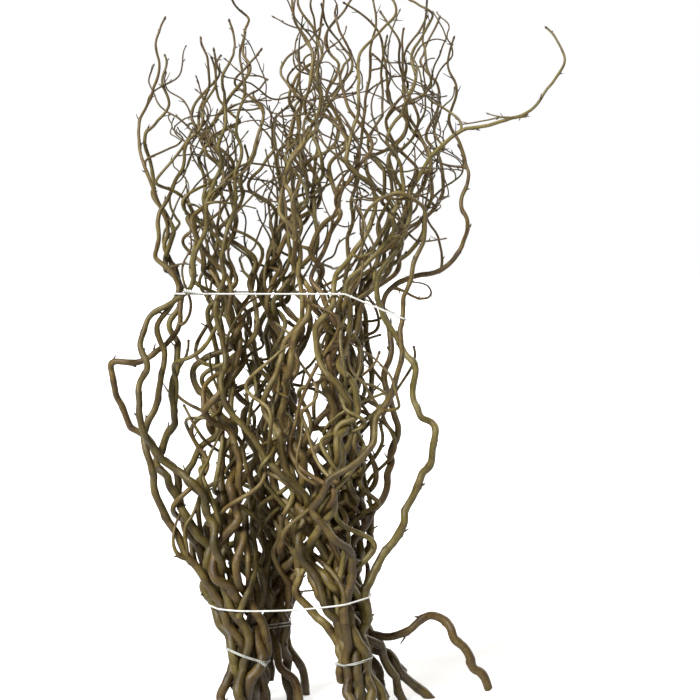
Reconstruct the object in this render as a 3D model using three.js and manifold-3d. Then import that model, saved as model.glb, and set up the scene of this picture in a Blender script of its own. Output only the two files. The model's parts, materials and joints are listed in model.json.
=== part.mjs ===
// A tied bunch of contorted hazel branches, standing on its cut ends.
// Millimetres, +Z up. The front of the bunch faces -Y, and the origin is on the floor under its middle.
//
// Each branch is one solid: a crooked, tapering stem with the twigs that fork from it fused on.
// The branches stand in four sheaves, each with its own small tie, and two long ties hold the
// sheaves together, one at the waist and one under the crown.

import * as THREE from "three";
import { mergeVertices } from "three/addons/utils/BufferGeometryUtils.js";
import Module from "manifold-3d";

const wasm = await Module();
wasm.setup();

// Sizes of one branch
const BUTT_RADIUS = 6.6; // at the cut end, before each branch's own share
const TIP_RADIUS = 1.4; // where the stem ends
const STEM_SIDES = 4;
const TWIG_SIDES = 3; // of the twigs, and of the stem above its trunk
const TRUNK_RADIUS = 3.5; // the trunk ends where the stem gets thinner than this
const TWIGS = 2; // forks on each stem
const TWIG_SHARE = 0.62; // a twig's thickness where it forks, as a share of the stem's there
const TWIG_TIP_RADIUS = 1.0;
const TWIG_STEP = 25; // between the rings of a twig
const DRAWN_STEP = 26; // between the rings of a stem whose route is drawn
const RULE_STEP = 24.5; // height between the rings of a stem that grows by rule

// Sizes of the bunch
const CROWN = { x: 12, y: 0, halfX: 220, halfY: 125, top: 1000 };
const CLEARANCE = 0.4; // bark to bark, where two branches lie against each other
const CORD_RADIUS = 1.4;
const CORD_SIDES = 4;
const CORD_CLEARANCE = 0.35;
const CORD_REACH = CORD_RADIUS + 0.3; // above and below a tie's middle, how much of the bark it has to clear
const CORD_STEP = 36; // the longest stretch of a tie between two of its rings
const LOOSE_CORNER = 2; // a corner that bends a tie by less than this area is left out
const KNOT_RADIUS = 2.7;

// Four sheaves of branches. An outline row is [height, middle x, middle y, half-width x, half-width y].
// ring is the sheaf's own tie: its middle, the radius it gathers the sheaf into, its tilt to the right,
// and the side that its knot faces.
const SHEAVES = [
  {
    name: "left_front",
    ring: { x: -70, y: -34, z: 80, radius: 31, tilt: -0.34, knot: [-0.3, -1] },
    outline: [
      [0, -74, -36, 44, 36],
      [80, -70, -34, 22, 22],
      [147, -86, -30, 35, 26],
      [220, -108, -32, 44, 36],
      [300, -122, -36, 62, 48],
      [440, -122, -40, 74, 58],
      [565, -102, -30, 56, 42],
      [615, -128, -34, 72, 52],
      [700, -130, -36, 76, 58],
      [850, -120, -38, 88, 72],
      [1000, -100, -26, 84, 64],
    ],
  },
  {
    name: "left_back",
    ring: { x: -43, y: 38, z: 108, radius: 32, tilt: 0.1, knot: [0.4, 1] },
    outline: [
      [0, -34, 42, 50, 36],
      [108, -43, 38, 22, 22],
      [147, -32, 36, 34, 27],
      [220, -32, 38, 48, 36],
      [300, -48, 40, 64, 46],
      [440, -58, 44, 76, 56],
      [565, -62, 34, 56, 42],
      [680, -56, 38, 80, 56],
      [850, -46, 40, 92, 72],
      [1000, -44, 30, 88, 64],
    ],
  },
  {
    name: "right_front",
    ring: { x: 72, y: -36, z: 72, radius: 29, tilt: 0.24, knot: [-0.5, -1] },
    outline: [
      [0, 74, -38, 72, 38],
      [72, 72, -36, 20, 20],
      [147, 44, -32, 33, 24],
      [220, 26, -34, 46, 36],
      [300, 14, -38, 64, 46],
      [440, 22, -42, 76, 54],
      [565, 24, -32, 56, 42],
      [660, 42, -36, 84, 56],
      [850, 58, -36, 96, 72],
      [1000, 66, -26, 90, 64],
    ],
  },
  {
    name: "right_back",
    ring: { x: 66, y: 36, z: 126, radius: 31, tilt: 0, knot: [1, 0.3] },
    outline: [
      [0, 124, 44, 72, 38],
      [70, 88, 40, 32, 26],
      [126, 66, 36, 21, 21],
      [155, 56, 36, 32, 26],
      [220, 52, 38, 44, 34],
      [300, 56, 42, 56, 46],
      [440, 66, 44, 66, 54],
      [560, 68, 34, 52, 42],
      [610, 122, 36, 66, 50],
      [690, 146, 38, 74, 56],
      [850, 146, 40, 84, 72],
      [1000, 120, 30, 84, 64],
    ],
  },
];

// Stems that stand out in the outline of the bunch, drawn bend by bend from the cut end up: [x, z].
// depth is the stem's place in its sheaf from front, -1, to back, 1.
const DRAWN = [
  {
    name: "right_outer", sheaf: 2, depth: -0.1,
    bends: [[130, 0], [119, 32], [86, 95], [90, 135], [86, 167], [107, 207], [135, 247], [151, 301],
      [176, 339], [173, 359], [184, 385], [176, 400], [159, 396], [149, 439], [154, 470], [127, 505],
      [97, 576], [130, 632], [144, 662], [140, 697], [173, 751], [211, 782], [275, 795], [318, 819],
      [333, 849], [350, 865], [350, 883], [341, 907], [328, 919]],
  },
  {
    name: "right_second", sheaf: 3, depth: -0.6,
    bends: [[112, 0], [82, 59], [84, 122], [74, 151], [62, 178], [61, 211], [89, 259], [116, 296],
      [116, 321], [127, 335], [115, 346], [138, 371], [123, 406], [111, 451], [124, 508], [106, 543],
      [120, 574], [152, 592], [186, 588], [208, 612], [226, 650], [214, 688], [228, 728], [212, 768],
      [196, 800], [212, 838], [192, 872], [204, 905]],
  },
  {
    name: "arch", sheaf: 2, depth: -1.25,
    bends: [[70, 0], [54, 59], [62, 90], [51, 147], [70, 202], [63, 225], [24, 265], [12, 284],
      [38, 308], [43, 329], [81, 350], [99, 373], [96, 397], [119, 431], [135, 491], [131, 522],
      [146, 594], [167, 650], [165, 680], [140, 698], [118, 697], [90, 681], [81, 641], [84, 614],
      [81, 585], [68, 566]],
  },
  {
    name: "diagonal", sheaf: 2, depth: -0.8,
    bends: [[58, 0], [66, 59], [42, 122], [30, 150], [24, 181], [-5, 220], [-8, 234], [4, 258],
      [-5, 296], [-46, 347], [-73, 390], [-100, 415], [-104, 458], [-97, 489], [-115, 543], [-97, 594],
      [-105, 624], [-81, 684], [-88, 718], [-73, 748], [-84, 790], [-66, 830], [-80, 870], [-70, 905]],
  },
  {
    name: "elbow", sheaf: 0, depth: 0.1,
    bends: [[-86, 0], [-92, 30], [-84, 59], [-113, 143], [-143, 221], [-163, 270], [-160, 315],
      [-189, 343], [-205, 370], [-236, 390], [-242, 424], [-254, 468], [-240, 479], [-205, 470],
      [-189, 489], [-159, 520], [-162, 564], [-165, 591], [-186, 624], [-173, 643], [-189, 691],
      [-217, 765], [-216, 802], [-192, 835], [-184, 873], [-195, 905], [-180, 930]],
  },
  {
    name: "spike", sheaf: 0, depth: -0.4,
    bends: [[-105, 0], [-109, 30], [-96, 84], [-116, 147], [-131, 182], [-158, 210], [-168, 243],
      [-182, 270], [-198, 300], [-194, 325], [-213, 381], [-189, 414], [-189, 448], [-176, 482],
      [-194, 520], [-173, 551],
      [-153, 568], [-165, 596], [-198, 612], [-184, 630], [-189, 659], [-169, 705], [-151, 729],
      [-154, 752], [-124, 791], [-127, 815], [-105, 850], [-112, 885]],
  },
  {
    name: "bow", sheaf: 0, depth: -0.9,
    bends: [[-58, 0], [-76, 59], [-70, 86], [-92, 147], [-105, 205], [-123, 278], [-140, 317],
      [-178, 340], [-200, 371], [-211, 432], [-208, 455], [-193, 471], [-212, 495], [-205, 530],
      [-146, 568], [-135, 590], [-140, 613], [-116, 659], [-124, 684], [-100, 732], [-105, 759],
      [-92, 800], [-100, 840], [-80, 880], [-90, 920]],
  },
  {
    name: "prop", sheaf: 3, depth: -0.2,
    bends: [[256, 16], [245, 39], [229, 60], [213, 78], [204, 98], [195, 110], [185, 113], [165, 110],
      [147, 96], [131, 81], [107, 76], [86, 98], [74, 147], [49, 219], [70, 273], [76, 327], [54, 381], [70, 435], [51, 486], [57, 525],
      [49, 545], [68, 599], [61, 630], [73, 657], [68, 691], [81, 721], [76, 759], [89, 788],
      [84, 826], [97, 856], [92, 890], [104, 930], [98, 960]],
  },
];

// Stems that grow by rule, for each sheaf in turn
const RULE_STEMS = [6, 8, 6, 8];

// A stem's crookedness: waves of [length along the height, swing to each side]
const WAVES = [[230, 15], [104, 13], [66, 7]];
const RISE_SHARE = 0.55; // how far the waves also lift and lower the stem
// How freely the waves swing at each height: [height, share]
const FREEDOM = [
  [0, 0.3], [60, 0.6], [150, 0.75], [230, 1.05], [500, 1.05], [565, 0.75], [660, 1.1], [1000, 1.2],
];
const LANE_TURN = 2.399963; // from each stem's lane to the next, round the middle of the sheaf

// Settling: how the branches bend aside for each other
const ROUNDS = 260; // rounds in all
const FREE_ROUNDS = 90; // the last of them, with no stiffness
const STIFFNESS = 0.35; // how far a bend spreads along a stem in each round
const NEAR = 14; // how close two pieces have to be to be watched
const WATCH_ROUNDS = 10; // how often the watched pairs are found again
const RING_REACH = 30; // how far above and below a sheaf's tie its stems are gathered
const RING_MARGIN = 25; // a stem that runs farther outside the tie than this is left there

const BARK_TONES = ["#7b6642", "#6f5a3a", "#84704a", "#665237"];
const CORD = new THREE.MeshStandardMaterial({ color: "#eef0ee", roughness: 0.6, metalness: 0 });

/** The height of the waist tie and of the tie under the crown, which runs down to the right. */
const waistLevel = (x) => 143 + 16 * ((x + 75) / 165) ** 2;
const crownLevel = (x) => 566 - 0.42 * Math.max(x - 60, 0);

/** Numbers from 0 to 1 that come out the same every time. */
function draws(seed) {
  let state = seed >>> 0;
  return () => {
    state = (Math.imul(state, 1664525) + 1013904223) >>> 0;
    return state / 4294967296;
  };
}

/** The values of rows of [place, value, value, ...] at a place between them. */
function between(rows, place) {
  let i = 1;
  while (i < rows.length - 1 && rows[i][0] < place) i += 1;
  const [low, high] = [rows[i - 1], rows[i]];
  const share = Math.min(Math.max((place - low[0]) / (high[0] - low[0]), 0), 1);
  return low.slice(1).map((value, k) => value + (high[k + 1] - value) * share);
}

/** A function of height that swings a stem to and fro along one axis. */
function swing(draw) {
  const waves = WAVES.map(([length, size]) => {
    const own = length * (0.8 + 0.45 * draw());
    return [own, size * (0.6 + 0.8 * draw()), 2 * Math.PI * draw()];
  });
  const waveAt = ([length, size, phase], z) => size * Math.sin((2 * Math.PI * z) / length + phase);
  return (z) => waves.reduce((sum, wave) => sum + waveAt(wave, z), 0);
}

/** Points about step apart along a smooth line through bends of [x, z]. */
function resampled(bends, step) {
  const points = [];
  for (let i = 0; i < bends.length - 1; i += 1) {
    const around = [Math.max(i - 1, 0), i, i + 1, Math.min(i + 2, bends.length - 1)];
    const [a, b, c, d] = around.map((k) => bends[k]);
    const pieces = Math.max(1, Math.round(Math.hypot(c[0] - b[0], c[1] - b[1]) / step));
    for (let k = 0; k < pieces; k += 1) {
      const t = k / pieces;
      points.push([0, 1].map((n) => {
        const cubic = 3 * (b[n] - c[n]) + d[n] - a[n];
        const square = 2 * a[n] - 5 * b[n] + 4 * c[n] - d[n];
        return b[n] + 0.5 * t * (c[n] - a[n] + t * (square + t * cubic));
      }));
    }
  }
  points.push(bends[bends.length - 1]);
  return points;
}

/** Radii that taper evenly from one end of a shoot to the other. */
function taper(count, from, to) {
  return Array.from({ length: count }, (_, k) => from + ((to - from) * k) / (count - 1));
}

/** A stem whose bends are drawn: its depth follows its sheaf, with a swing of its own. */
function drawnStem({ name, sheaf, depth, bends }, seed) {
  const draw = draws(seed);
  const sway = swing(draw);
  const girth = 0.95 + 0.12 * draw();
  const points = resampled(bends, DRAWN_STEP).map(([x, z]) => {
    const [, y, , halfY] = between(SHEAVES[sheaf].outline, z);
    const [freedom] = between(FREEDOM, z);
    return new THREE.Vector3(x, y + depth * halfY + 0.6 * freedom * sway(z), z);
  });
  const radii = taper(points.length, BUTT_RADIUS * girth, TIP_RADIUS);
  return { name, ring: sheaf, points, radii };
}

/** A stem that grows by rule: it drifts from one lane of its sheaf to another, and swings all ways. */
function ruleStem(name, sheaf, lane, seed) {
  const draw = draws(seed);
  const sways = [swing(draw), swing(draw), swing(draw)];
  const girth = 0.86 + 0.28 * draw();
  const foot = draw() < 0.65 ? 0 : 12 + 30 * draw();
  const top = CROWN.top * (0.88 + 0.11 * draw());
  const laneAt = (angle, share) => [Math.sqrt(share) * Math.cos(angle), Math.sqrt(share) * Math.sin(angle)];
  const low = laneAt(lane * LANE_TURN + sheaf, (lane + 0.5) / RULE_STEMS[sheaf]);
  const high = laneAt(2 * Math.PI * draw(), draw());
  const count = Math.round((top - foot) / RULE_STEP) + 1;
  const points = Array.from({ length: count }, (_, k) => {
    const z = foot + ((top - foot) * k) / (count - 1);
    const [x, y, halfX, halfY] = between(SHEAVES[sheaf].outline, z);
    const [freedom] = between(FREEDOM, z);
    const drift = Math.min(z / 700, 1);
    return new THREE.Vector3(
      x + (low[0] + (high[0] - low[0]) * drift) * halfX + freedom * sways[0](z),
      y + (low[1] + (high[1] - low[1]) * drift) * halfY + freedom * sways[1](z),
      z + Math.min(k / 4, 1) * RISE_SHARE * freedom * sways[2](z),
    );
  });
  return { name, ring: sheaf, points, radii: taper(count, BUTT_RADIUS * girth, TIP_RADIUS) };
}

/** How far out in the crown a point is: 1 at its edge. */
function outOfCrown({ x, y }) {
  return Math.hypot((x - CROWN.x) / CROWN.halfX, (y - CROWN.y) / CROWN.halfY);
}

/** A twig that forks from a stem at one of its points and wanders upwards inside the crown. */
function twig(stem, at, count, draw) {
  const random = () => new THREE.Vector3(2 * draw() - 1, 2 * draw() - 1, 2 * draw() - 1);
  const root = stem.points[at];
  const heading = stem.points[at + 1].clone().sub(stem.points[at - 1]).normalize();
  const outward = new THREE.Vector3(root.x - CROWN.x, root.y - CROWN.y, 0).normalize();
  heading.addScaledVector(outward, 0.3).addScaledVector(random(), 0.8).normalize();
  const points = [root.clone()];
  for (let k = 1; k < count; k += 1) {
    const last = points[k - 1];
    const inward = new THREE.Vector3(CROWN.x - last.x, CROWN.y - last.y, 0).normalize();
    const rise = last.z > CROWN.top - 30 ? -0.7 : 0.35;
    heading.addScaledVector(random(), 0.85).add(new THREE.Vector3(0, 0, rise));
    heading.addScaledVector(inward, outOfCrown(last) > 0.85 ? 0.7 : 0).normalize();
    points.push(last.clone().addScaledVector(heading, TWIG_STEP));
  }
  return { stem, at, points, radii: taper(count, stem.radii[at] * TWIG_SHARE, TWIG_TIP_RADIUS) };
}

/** Every branch as its shoots: the stem first, then its twigs. */
function growBranches() {
  const stems = DRAWN.map((row, i) => drawnStem(row, 101 + 17 * i));
  SHEAVES.forEach(({ name }, s) => {
    for (let lane = 0; lane < RULE_STEMS[s]; lane += 1) {
      stems.push(ruleStem(`${name}_${lane + 1}`, s, lane, 977 + 131 * stems.length));
    }
  });
  return stems.map((stem, i) => {
    const draw = draws(5003 + 71 * i);
    const twigs = Array.from({ length: TWIGS }, (_, k) => {
      let at = Math.round(stem.points.length * (0.55 + 0.14 * k + 0.1 * draw()));
      while (outOfCrown(stem.points[at]) > 0.85) at -= 1;
      return twig(stem, at, 6 + Math.floor(3 * draw()) - k, draw);
    });
    return { name: `branch_${stem.name}`, ring: stem.ring, shoots: [stem, ...twigs] };
  });
}

/** Bends the branches aside until no two of them touch. It moves the points of every shoot. */
function settle(branches) {
  const points = [];
  const segments = [];
  branches.forEach((branch, b) => {
    branch.shoots.forEach((shoot) => {
      shoot.first = points.length;
      shoot.points.forEach((point, k) => {
        points.push({
          at: point,
          start: point.clone(),
          move: new THREE.Vector3(),
          radius: shoot.radii[k],
          ring: branch.ring,
          foot: !shoot.stem && k === 0,
          root: shoot.stem && k === 0 ? shoot.stem.first + shoot.at : -1,
          before: shoot.first + Math.max(k - 1, 0),
          after: shoot.first + Math.min(k + 1, shoot.points.length - 1),
        });
        if (k > 0) segments.push({ branch: b, from: shoot.first + k - 1, to: shoot.first + k });
      });
    });
  });
  let pairs = [];
  for (let round = 0; round < ROUNDS; round += 1) {
    if (round % WATCH_ROUNDS === 0) pairs = nearPairs(points, segments);
    pushApart(points, segments, pairs);
    points.forEach(gather);
    if (round < ROUNDS - FREE_ROUNDS) spreadBends(points);
    points.forEach((point) => {
      if (point.foot) point.move.z = 0;
      if (point.root >= 0) point.move.copy(points[point.root].move);
      point.at.copy(point.start).add(point.move);
      if (!point.foot) point.at.z = Math.max(point.at.z, point.radius + 1);
    });
  }
}

/** The pairs of segments of different branches that lie near each other. */
function nearPairs(points, segments) {
  const pairs = [];
  const ends = segments.map(({ from, to }) => [points[from], points[to]]);
  const middles = ends.map(([a, b]) => a.at.clone().add(b.at).multiplyScalar(0.5));
  const reaches = ends.map(([a, b]) => a.at.distanceTo(b.at) / 2 + a.radius);
  for (let i = 0; i < segments.length; i += 1) {
    for (let j = i + 1; j < segments.length; j += 1) {
      if (segments[i].branch === segments[j].branch) continue;
      const reach = reaches[i] + reaches[j] + NEAR;
      if (Math.abs(middles[i].z - middles[j].z) > reach) continue;
      if (middles[i].distanceToSquared(middles[j]) < reach * reach) pairs.push([segments[i], segments[j]]);
    }
  }
  return pairs;
}

/** Where the segments from p along u and from q along v come closest, as the share along each. */
function closest(p, u, q, v) {
  const w = p.clone().sub(q);
  const [a, b, c, d, e] = [u.dot(u), u.dot(v), v.dot(v), u.dot(w), v.dot(w)];
  const clamp = (share) => Math.min(Math.max(share, 0), 1);
  const first = clamp((b * e - c * d) / Math.max(a * c - b * b, 1e-9));
  const t = clamp((b * first + e) / c);
  return [clamp((b * t - d) / a), t];
}

/** Moves the ends of each pair of segments that lie too close away from each other. */
function pushApart(points, segments, pairs) {
  const pushes = points.map(() => ({ sum: new THREE.Vector3(), count: 0 }));
  for (const [one, other] of pairs) {
    const [a, b, c, d] = [one.from, one.to, other.from, other.to];
    const u = points[b].at.clone().sub(points[a].at);
    const v = points[d].at.clone().sub(points[c].at);
    const [s, t] = closest(points[a].at, u, points[c].at, v);
    const apart = points[a].at.clone().addScaledVector(u, s).sub(points[c].at).addScaledVector(v, -t);
    const thickness = points[a].radius + (points[b].radius - points[a].radius) * s
      + points[c].radius + (points[d].radius - points[c].radius) * t;
    const distance = apart.length();
    const missing = thickness + CLEARANCE - distance;
    if (missing <= 0) continue;
    const push = apart.multiplyScalar((0.52 * missing) / Math.max(distance, 1e-6));
    const shares = [[a, 1 - s, s, 1], [b, s, 1 - s, 1], [c, 1 - t, t, -1], [d, t, 1 - t, -1]];
    for (const [point, weight, rest, way] of shares) {
      pushes[point].sum.addScaledVector(push, (way * weight) / (weight * weight + rest * rest));
      pushes[point].count += weight > 0.01 ? 1 : 0;
    }
  }
  points.forEach((point, k) => {
    if (pushes[k].count) point.move.addScaledVector(pushes[k].sum, 1 / pushes[k].count);
  });
}

/** Keeps a point inside its own sheaf's tie, unless it starts far outside, and outside the others'. */
function gather(point) {
  SHEAVES.forEach(({ ring }, s) => {
    if (Math.abs(point.at.z - ring.z) > RING_REACH) return;
    const first = point.start.clone().sub(new THREE.Vector3(ring.x, ring.y, 0)).setZ(0);
    if (s === point.ring && first.length() > ring.radius + RING_MARGIN) return;
    const out = first.add(point.move).setZ(0);
    const distance = Math.max(out.length(), 1e-6);
    const miss = s === point.ring
      ? Math.min(ring.radius - point.radius - distance, 0)
      : Math.max(ring.radius + point.radius + 2 * CORD_RADIUS + 1 - distance, 0);
    point.move.addScaledVector(out, (0.5 * miss) / distance);
  });
}

/** Shares each point's move with its neighbours, so that a stem bows and doesn't kink. */
function spreadBends(points) {
  const moves = points.map((point) => point.move.clone());
  points.forEach((point) => {
    const mean = moves[point.before].clone().add(moves[point.after]).multiplyScalar(0.5);
    point.move.lerp(mean, STIFFNESS);
  });
}

/** Rings of vertices across a line of points, square to the line and with no twist between them. */
function ringsAlong(points, radii, sides, levelFoot) {
  let across = new THREE.Vector3(1, 0, 0);
  return points.map((point, k) => {
    const [last, next] = [points[Math.max(k - 1, 0)], points[Math.min(k + 1, points.length - 1)]];
    const along = levelFoot && k === 0 ? new THREE.Vector3(0, 0, 1) : next.clone().sub(last).normalize();
    across = across.clone().addScaledVector(along, -across.dot(along)).normalize();
    const up = across.clone().cross(along);
    return Array.from({ length: sides }, (_, n) => {
      const angle = (2 * Math.PI * n) / sides;
      const vertex = point.clone().addScaledVector(across, radii[k] * Math.sin(angle));
      return vertex.addScaledVector(up, radii[k] * Math.cos(angle));
    });
  });
}

/** The rings of a shoot's solids. A stem is a trunk, and a thinner leader whose root is sunk in it. */
function solidsOfShoot({ stem, points, radii }) {
  if (stem) return [ringsAlong(points, radii, TWIG_SIDES, false)];
  const end = radii.findIndex((radius) => radius < TRUNK_RADIUS);
  const sunk = radii.slice(end - 1).map((radius, k) => (k === 0 ? 0.5 * radius : radius));
  return [
    ringsAlong(points.slice(0, end + 1), radii, STEM_SIDES, points[0].z === 0),
    ringsAlong(points.slice(end - 1), sunk, TWIG_SIDES, false),
  ];
}

/** A cylinder whose rows of vertices are laid on the rings, and whose end caps close on their middles. */
function tube(rings, open = false) {
  const sides = rings[0].length;
  const geometry = new THREE.CylinderGeometry(1, 1, 1, sides, rings.length - 1, open);
  const place = geometry.getAttribute("position");
  for (let i = 0; i < place.count; i += 1) {
    const ring = rings[Math.round((place.getY(i) + 0.5) * (rings.length - 1))];
    const middle = ring.reduce((sum, vertex) => sum.add(vertex), new THREE.Vector3()).divideScalar(sides);
    const turn = Math.atan2(place.getX(i), place.getZ(i)) / (2 * Math.PI);
    const onRim = Math.hypot(place.getX(i), place.getZ(i)) > 0.5;
    const vertex = onRim ? ring[Math.round((turn + 1) * sides) % sides] : middle;
    place.setXYZ(i, vertex.x, vertex.y, vertex.z);
  }
  return geometry;
}

/** A closed geometry as a solid that can be joined to others. */
function solidOf(geometry) {
  const bare = geometry.clone();
  bare.deleteAttribute("normal");
  bare.deleteAttribute("uv");
  const merged = mergeVertices(bare, 1e-4);
  return new wasm.Manifold(new wasm.Mesh({
    numProp: 3,
    vertProperties: new Float32Array(merged.getAttribute("position").array),
    triVerts: new Uint32Array(merged.index.array),
  }));
}

/** Several closed geometries joined into one mesh. */
function fused(name, geometries, material) {
  const { vertProperties, triVerts } = geometries.map(solidOf).reduce((a, b) => a.add(b)).getMesh();
  const geometry = new THREE.BufferGeometry()
    .setAttribute("position", new THREE.BufferAttribute(vertProperties, 3))
    .setIndex(new THREE.BufferAttribute(triVerts, 1));
  geometry.computeVertexNormals();
  const made = new THREE.Mesh(geometry, material);
  made.name = name;
  return made;
}

/** The corners of the tightest loop round a set of points on the plan. */
function hull(points) {
  const sorted = [...points].sort((p, q) => p[0] - q[0] || p[1] - q[1]);
  const turn = (o, p, q) => (p[0] - o[0]) * (q[1] - o[1]) - (p[1] - o[1]) * (q[0] - o[0]);
  const half = (list) => {
    const side = [];
    for (const p of list) {
      while (side.length > 1 && turn(side.at(-2), side.at(-1), p) <= LOOSE_CORNER) side.pop();
      side.push(p);
    }
    return side.slice(0, -1);
  };
  return [...half(sorted), ...half(sorted.reverse())];
}

/** The places on the plan where some branches' solids pass through a tie's height, over its thickness. */
function crossings(branches, level) {
  const found = [];
  for (const rings of branches.flatMap((branch) => branch.solids)) {
    for (let k = 0; k < rings.length - 1; k += 1) {
      rings[k].forEach((a, n) => {
        const b = rings[k + 1][n];
        const [high, low] = [a, b].map((vertex) => vertex.z - level(vertex.x));
        if (Math.abs(high) < CORD_REACH) found.push([a.x, a.y]);
        for (const offset of [-CORD_REACH, 0, CORD_REACH]) {
          const share = (high - offset) / (high - low);
          if (share > 0 && share < 1) found.push([a.x + (b.x - a.x) * share, a.y + (b.y - a.y) * share]);
        }
      });
    }
  }
  return found;
}

/** The corners of a loop, with more between those that are far apart. */
function subdivided(corners) {
  return corners.flatMap((corner, k) => {
    const next = corners[(k + 1) % corners.length];
    const pieces = Math.ceil(Math.hypot(next[0] - corner[0], next[1] - corner[1]) / CORD_STEP);
    const placeAt = (share) => corner.map((value, i) => value + (next[i] - value) * share);
    return Array.from({ length: pieces }, (_, n) => placeAt(n / pieces));
  });
}

/** A cord pulled tight round places on the plan, at a height that may vary across them, with a knot. */
function tie(name, places, level, knotSide) {
  const corners = subdivided(hull(places));
  const sideNormal = (p, q) => new THREE.Vector2(q[1] - p[1], p[0] - q[0]).normalize();
  const loop = corners.map((corner, k) => {
    const before = corners[(k + corners.length - 1) % corners.length];
    const after = corners[(k + 1) % corners.length];
    const out = sideNormal(before, corner).add(sideNormal(corner, after));
    const reach = (2 * (CORD_RADIUS + CORD_CLEARANCE)) / out.lengthSq();
    const [x, y] = [corner[0] + out.x * reach, corner[1] + out.y * reach];
    return { point: new THREE.Vector3(x, y, level(x)), out: new THREE.Vector3(out.x, out.y, 0).normalize() };
  });
  const rings = [...loop, loop[0]].map(({ point, out }) =>
    Array.from({ length: CORD_SIDES }, (_, n) => {
      const angle = (2 * Math.PI * (n + 0.5)) / CORD_SIDES;
      const vertex = point.clone().addScaledVector(out, CORD_RADIUS * Math.sin(angle));
      return vertex.setZ(vertex.z + CORD_RADIUS * Math.cos(angle));
    }));
  const aim = new THREE.Vector3(...knotSide, 0).normalize();
  const knotted = loop.reduce((best, next) => (next.out.dot(aim) > best.out.dot(aim) ? next : best));
  const knot = new THREE.IcosahedronGeometry(KNOT_RADIUS, 0);
  const middle = knotted.point.clone().addScaledVector(knotted.out, KNOT_RADIUS - CORD_RADIUS);
  knot.translate(middle.x, middle.y, middle.z);
  return fused(name, [tube(rings, true), knot], CORD);
}

/** How far the middle of the branches lies from the origin along an axis. */
function middleOf(branches, axis) {
  const places = branches.flatMap(({ solids }) => solids.flat(2).map((vertex) => vertex[axis]));
  return (Math.min(...places) + Math.max(...places)) / 2;
}

const branches = growBranches();
settle(branches);

const bunch = new THREE.Group();
for (const [i, branch] of branches.entries()) {
  branch.solids = branch.shoots.flatMap(solidsOfShoot);
  const color = BARK_TONES[i % BARK_TONES.length];
  const bark = new THREE.MeshStandardMaterial({ color, roughness: 0.75, metalness: 0 });
  bunch.add(fused(branch.name, branch.solids.map((rings) => tube(rings)), bark));
}
SHEAVES.forEach(({ name, ring }, s) => {
  const level = (x) => ring.z + ring.tilt * (x - ring.x);
  const inReach = ([x, y]) => Math.hypot(x - ring.x, y - ring.y) < ring.radius + RING_MARGIN;
  const members = branches.filter((branch) => branch.ring === s);
  bunch.add(tie(`tie_${name}`, crossings(members, level).filter(inReach), level, ring.knot));
});
bunch.add(tie("tie_waist", crossings(branches, waistLevel), waistLevel, [0.2, 1]));
bunch.add(tie("tie_crown", crossings(branches, crownLevel), crownLevel, [-0.8, -0.6]));
bunch.position.set(-middleOf(branches, "x"), -middleOf(branches, "y"), 0);

export default bunch;
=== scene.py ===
import json
import math
from dataclasses import dataclass, replace

import bpy
import numpy as np
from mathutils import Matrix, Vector

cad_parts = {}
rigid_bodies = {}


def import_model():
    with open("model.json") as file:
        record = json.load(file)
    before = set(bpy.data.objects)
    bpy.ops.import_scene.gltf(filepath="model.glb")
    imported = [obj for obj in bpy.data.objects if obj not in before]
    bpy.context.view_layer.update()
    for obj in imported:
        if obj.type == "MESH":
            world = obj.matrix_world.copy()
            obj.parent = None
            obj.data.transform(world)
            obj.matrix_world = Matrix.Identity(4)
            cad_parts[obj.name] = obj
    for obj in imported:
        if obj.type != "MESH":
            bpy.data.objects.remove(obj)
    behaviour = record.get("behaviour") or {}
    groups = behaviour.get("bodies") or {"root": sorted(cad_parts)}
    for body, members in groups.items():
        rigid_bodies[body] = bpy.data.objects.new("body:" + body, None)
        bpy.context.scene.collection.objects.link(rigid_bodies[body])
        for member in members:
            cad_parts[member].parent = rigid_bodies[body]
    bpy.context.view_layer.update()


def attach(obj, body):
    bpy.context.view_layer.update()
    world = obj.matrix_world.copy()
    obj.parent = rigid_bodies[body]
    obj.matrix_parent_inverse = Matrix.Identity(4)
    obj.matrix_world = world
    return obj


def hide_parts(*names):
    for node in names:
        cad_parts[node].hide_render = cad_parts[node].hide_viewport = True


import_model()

# A tied bunch of contorted hazel branches on a plain studio floor.
# The branches grow and settle by the same rules as the model's. Then they get what the model leaves
# out: round lumpy skins, side shoots, fine twigs, buds and spurs, cut ends and twisted ties.
# Lengths are in millimetres until a mesh is made.

MM = 0.001

# The camera: 2.6 m in front of the bunch and a little above its middle, looking slightly down
VIEW_DISTANCE = 2600.0
VIEW_MIDDLE = (20.2, 0.0, 488.7)  # what is in the middle of the picture
VIEW_WIDTH = 945.0  # how much of the bunch's own plane the picture takes in
VIEW_DROP = math.radians(3.0)
SENSOR = 36.0


def new_object(name, data):
    """A new object in the scene."""
    made = bpy.data.objects.new(name, data)
    bpy.context.scene.collection.objects.link(made)
    return made


def place_camera():
    """A camera whose picture takes in VIEW_WIDTH at VIEW_DISTANCE: lens / sensor = distance / width."""
    data = bpy.data.cameras.new("camera")
    data.sensor_width = SENSOR
    data.lens = SENSOR * VIEW_DISTANCE / VIEW_WIDTH
    camera = new_object("camera", data)
    middle = Vector(VIEW_MIDDLE) * MM
    back = Vector((0, -math.cos(VIEW_DROP), math.sin(VIEW_DROP)))
    camera.location = middle + back * VIEW_DISTANCE * MM
    camera.rotation_euler = (-back).to_track_quat("-Z", "Y").to_euler()
    bpy.context.scene.camera = camera


place_camera()


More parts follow.
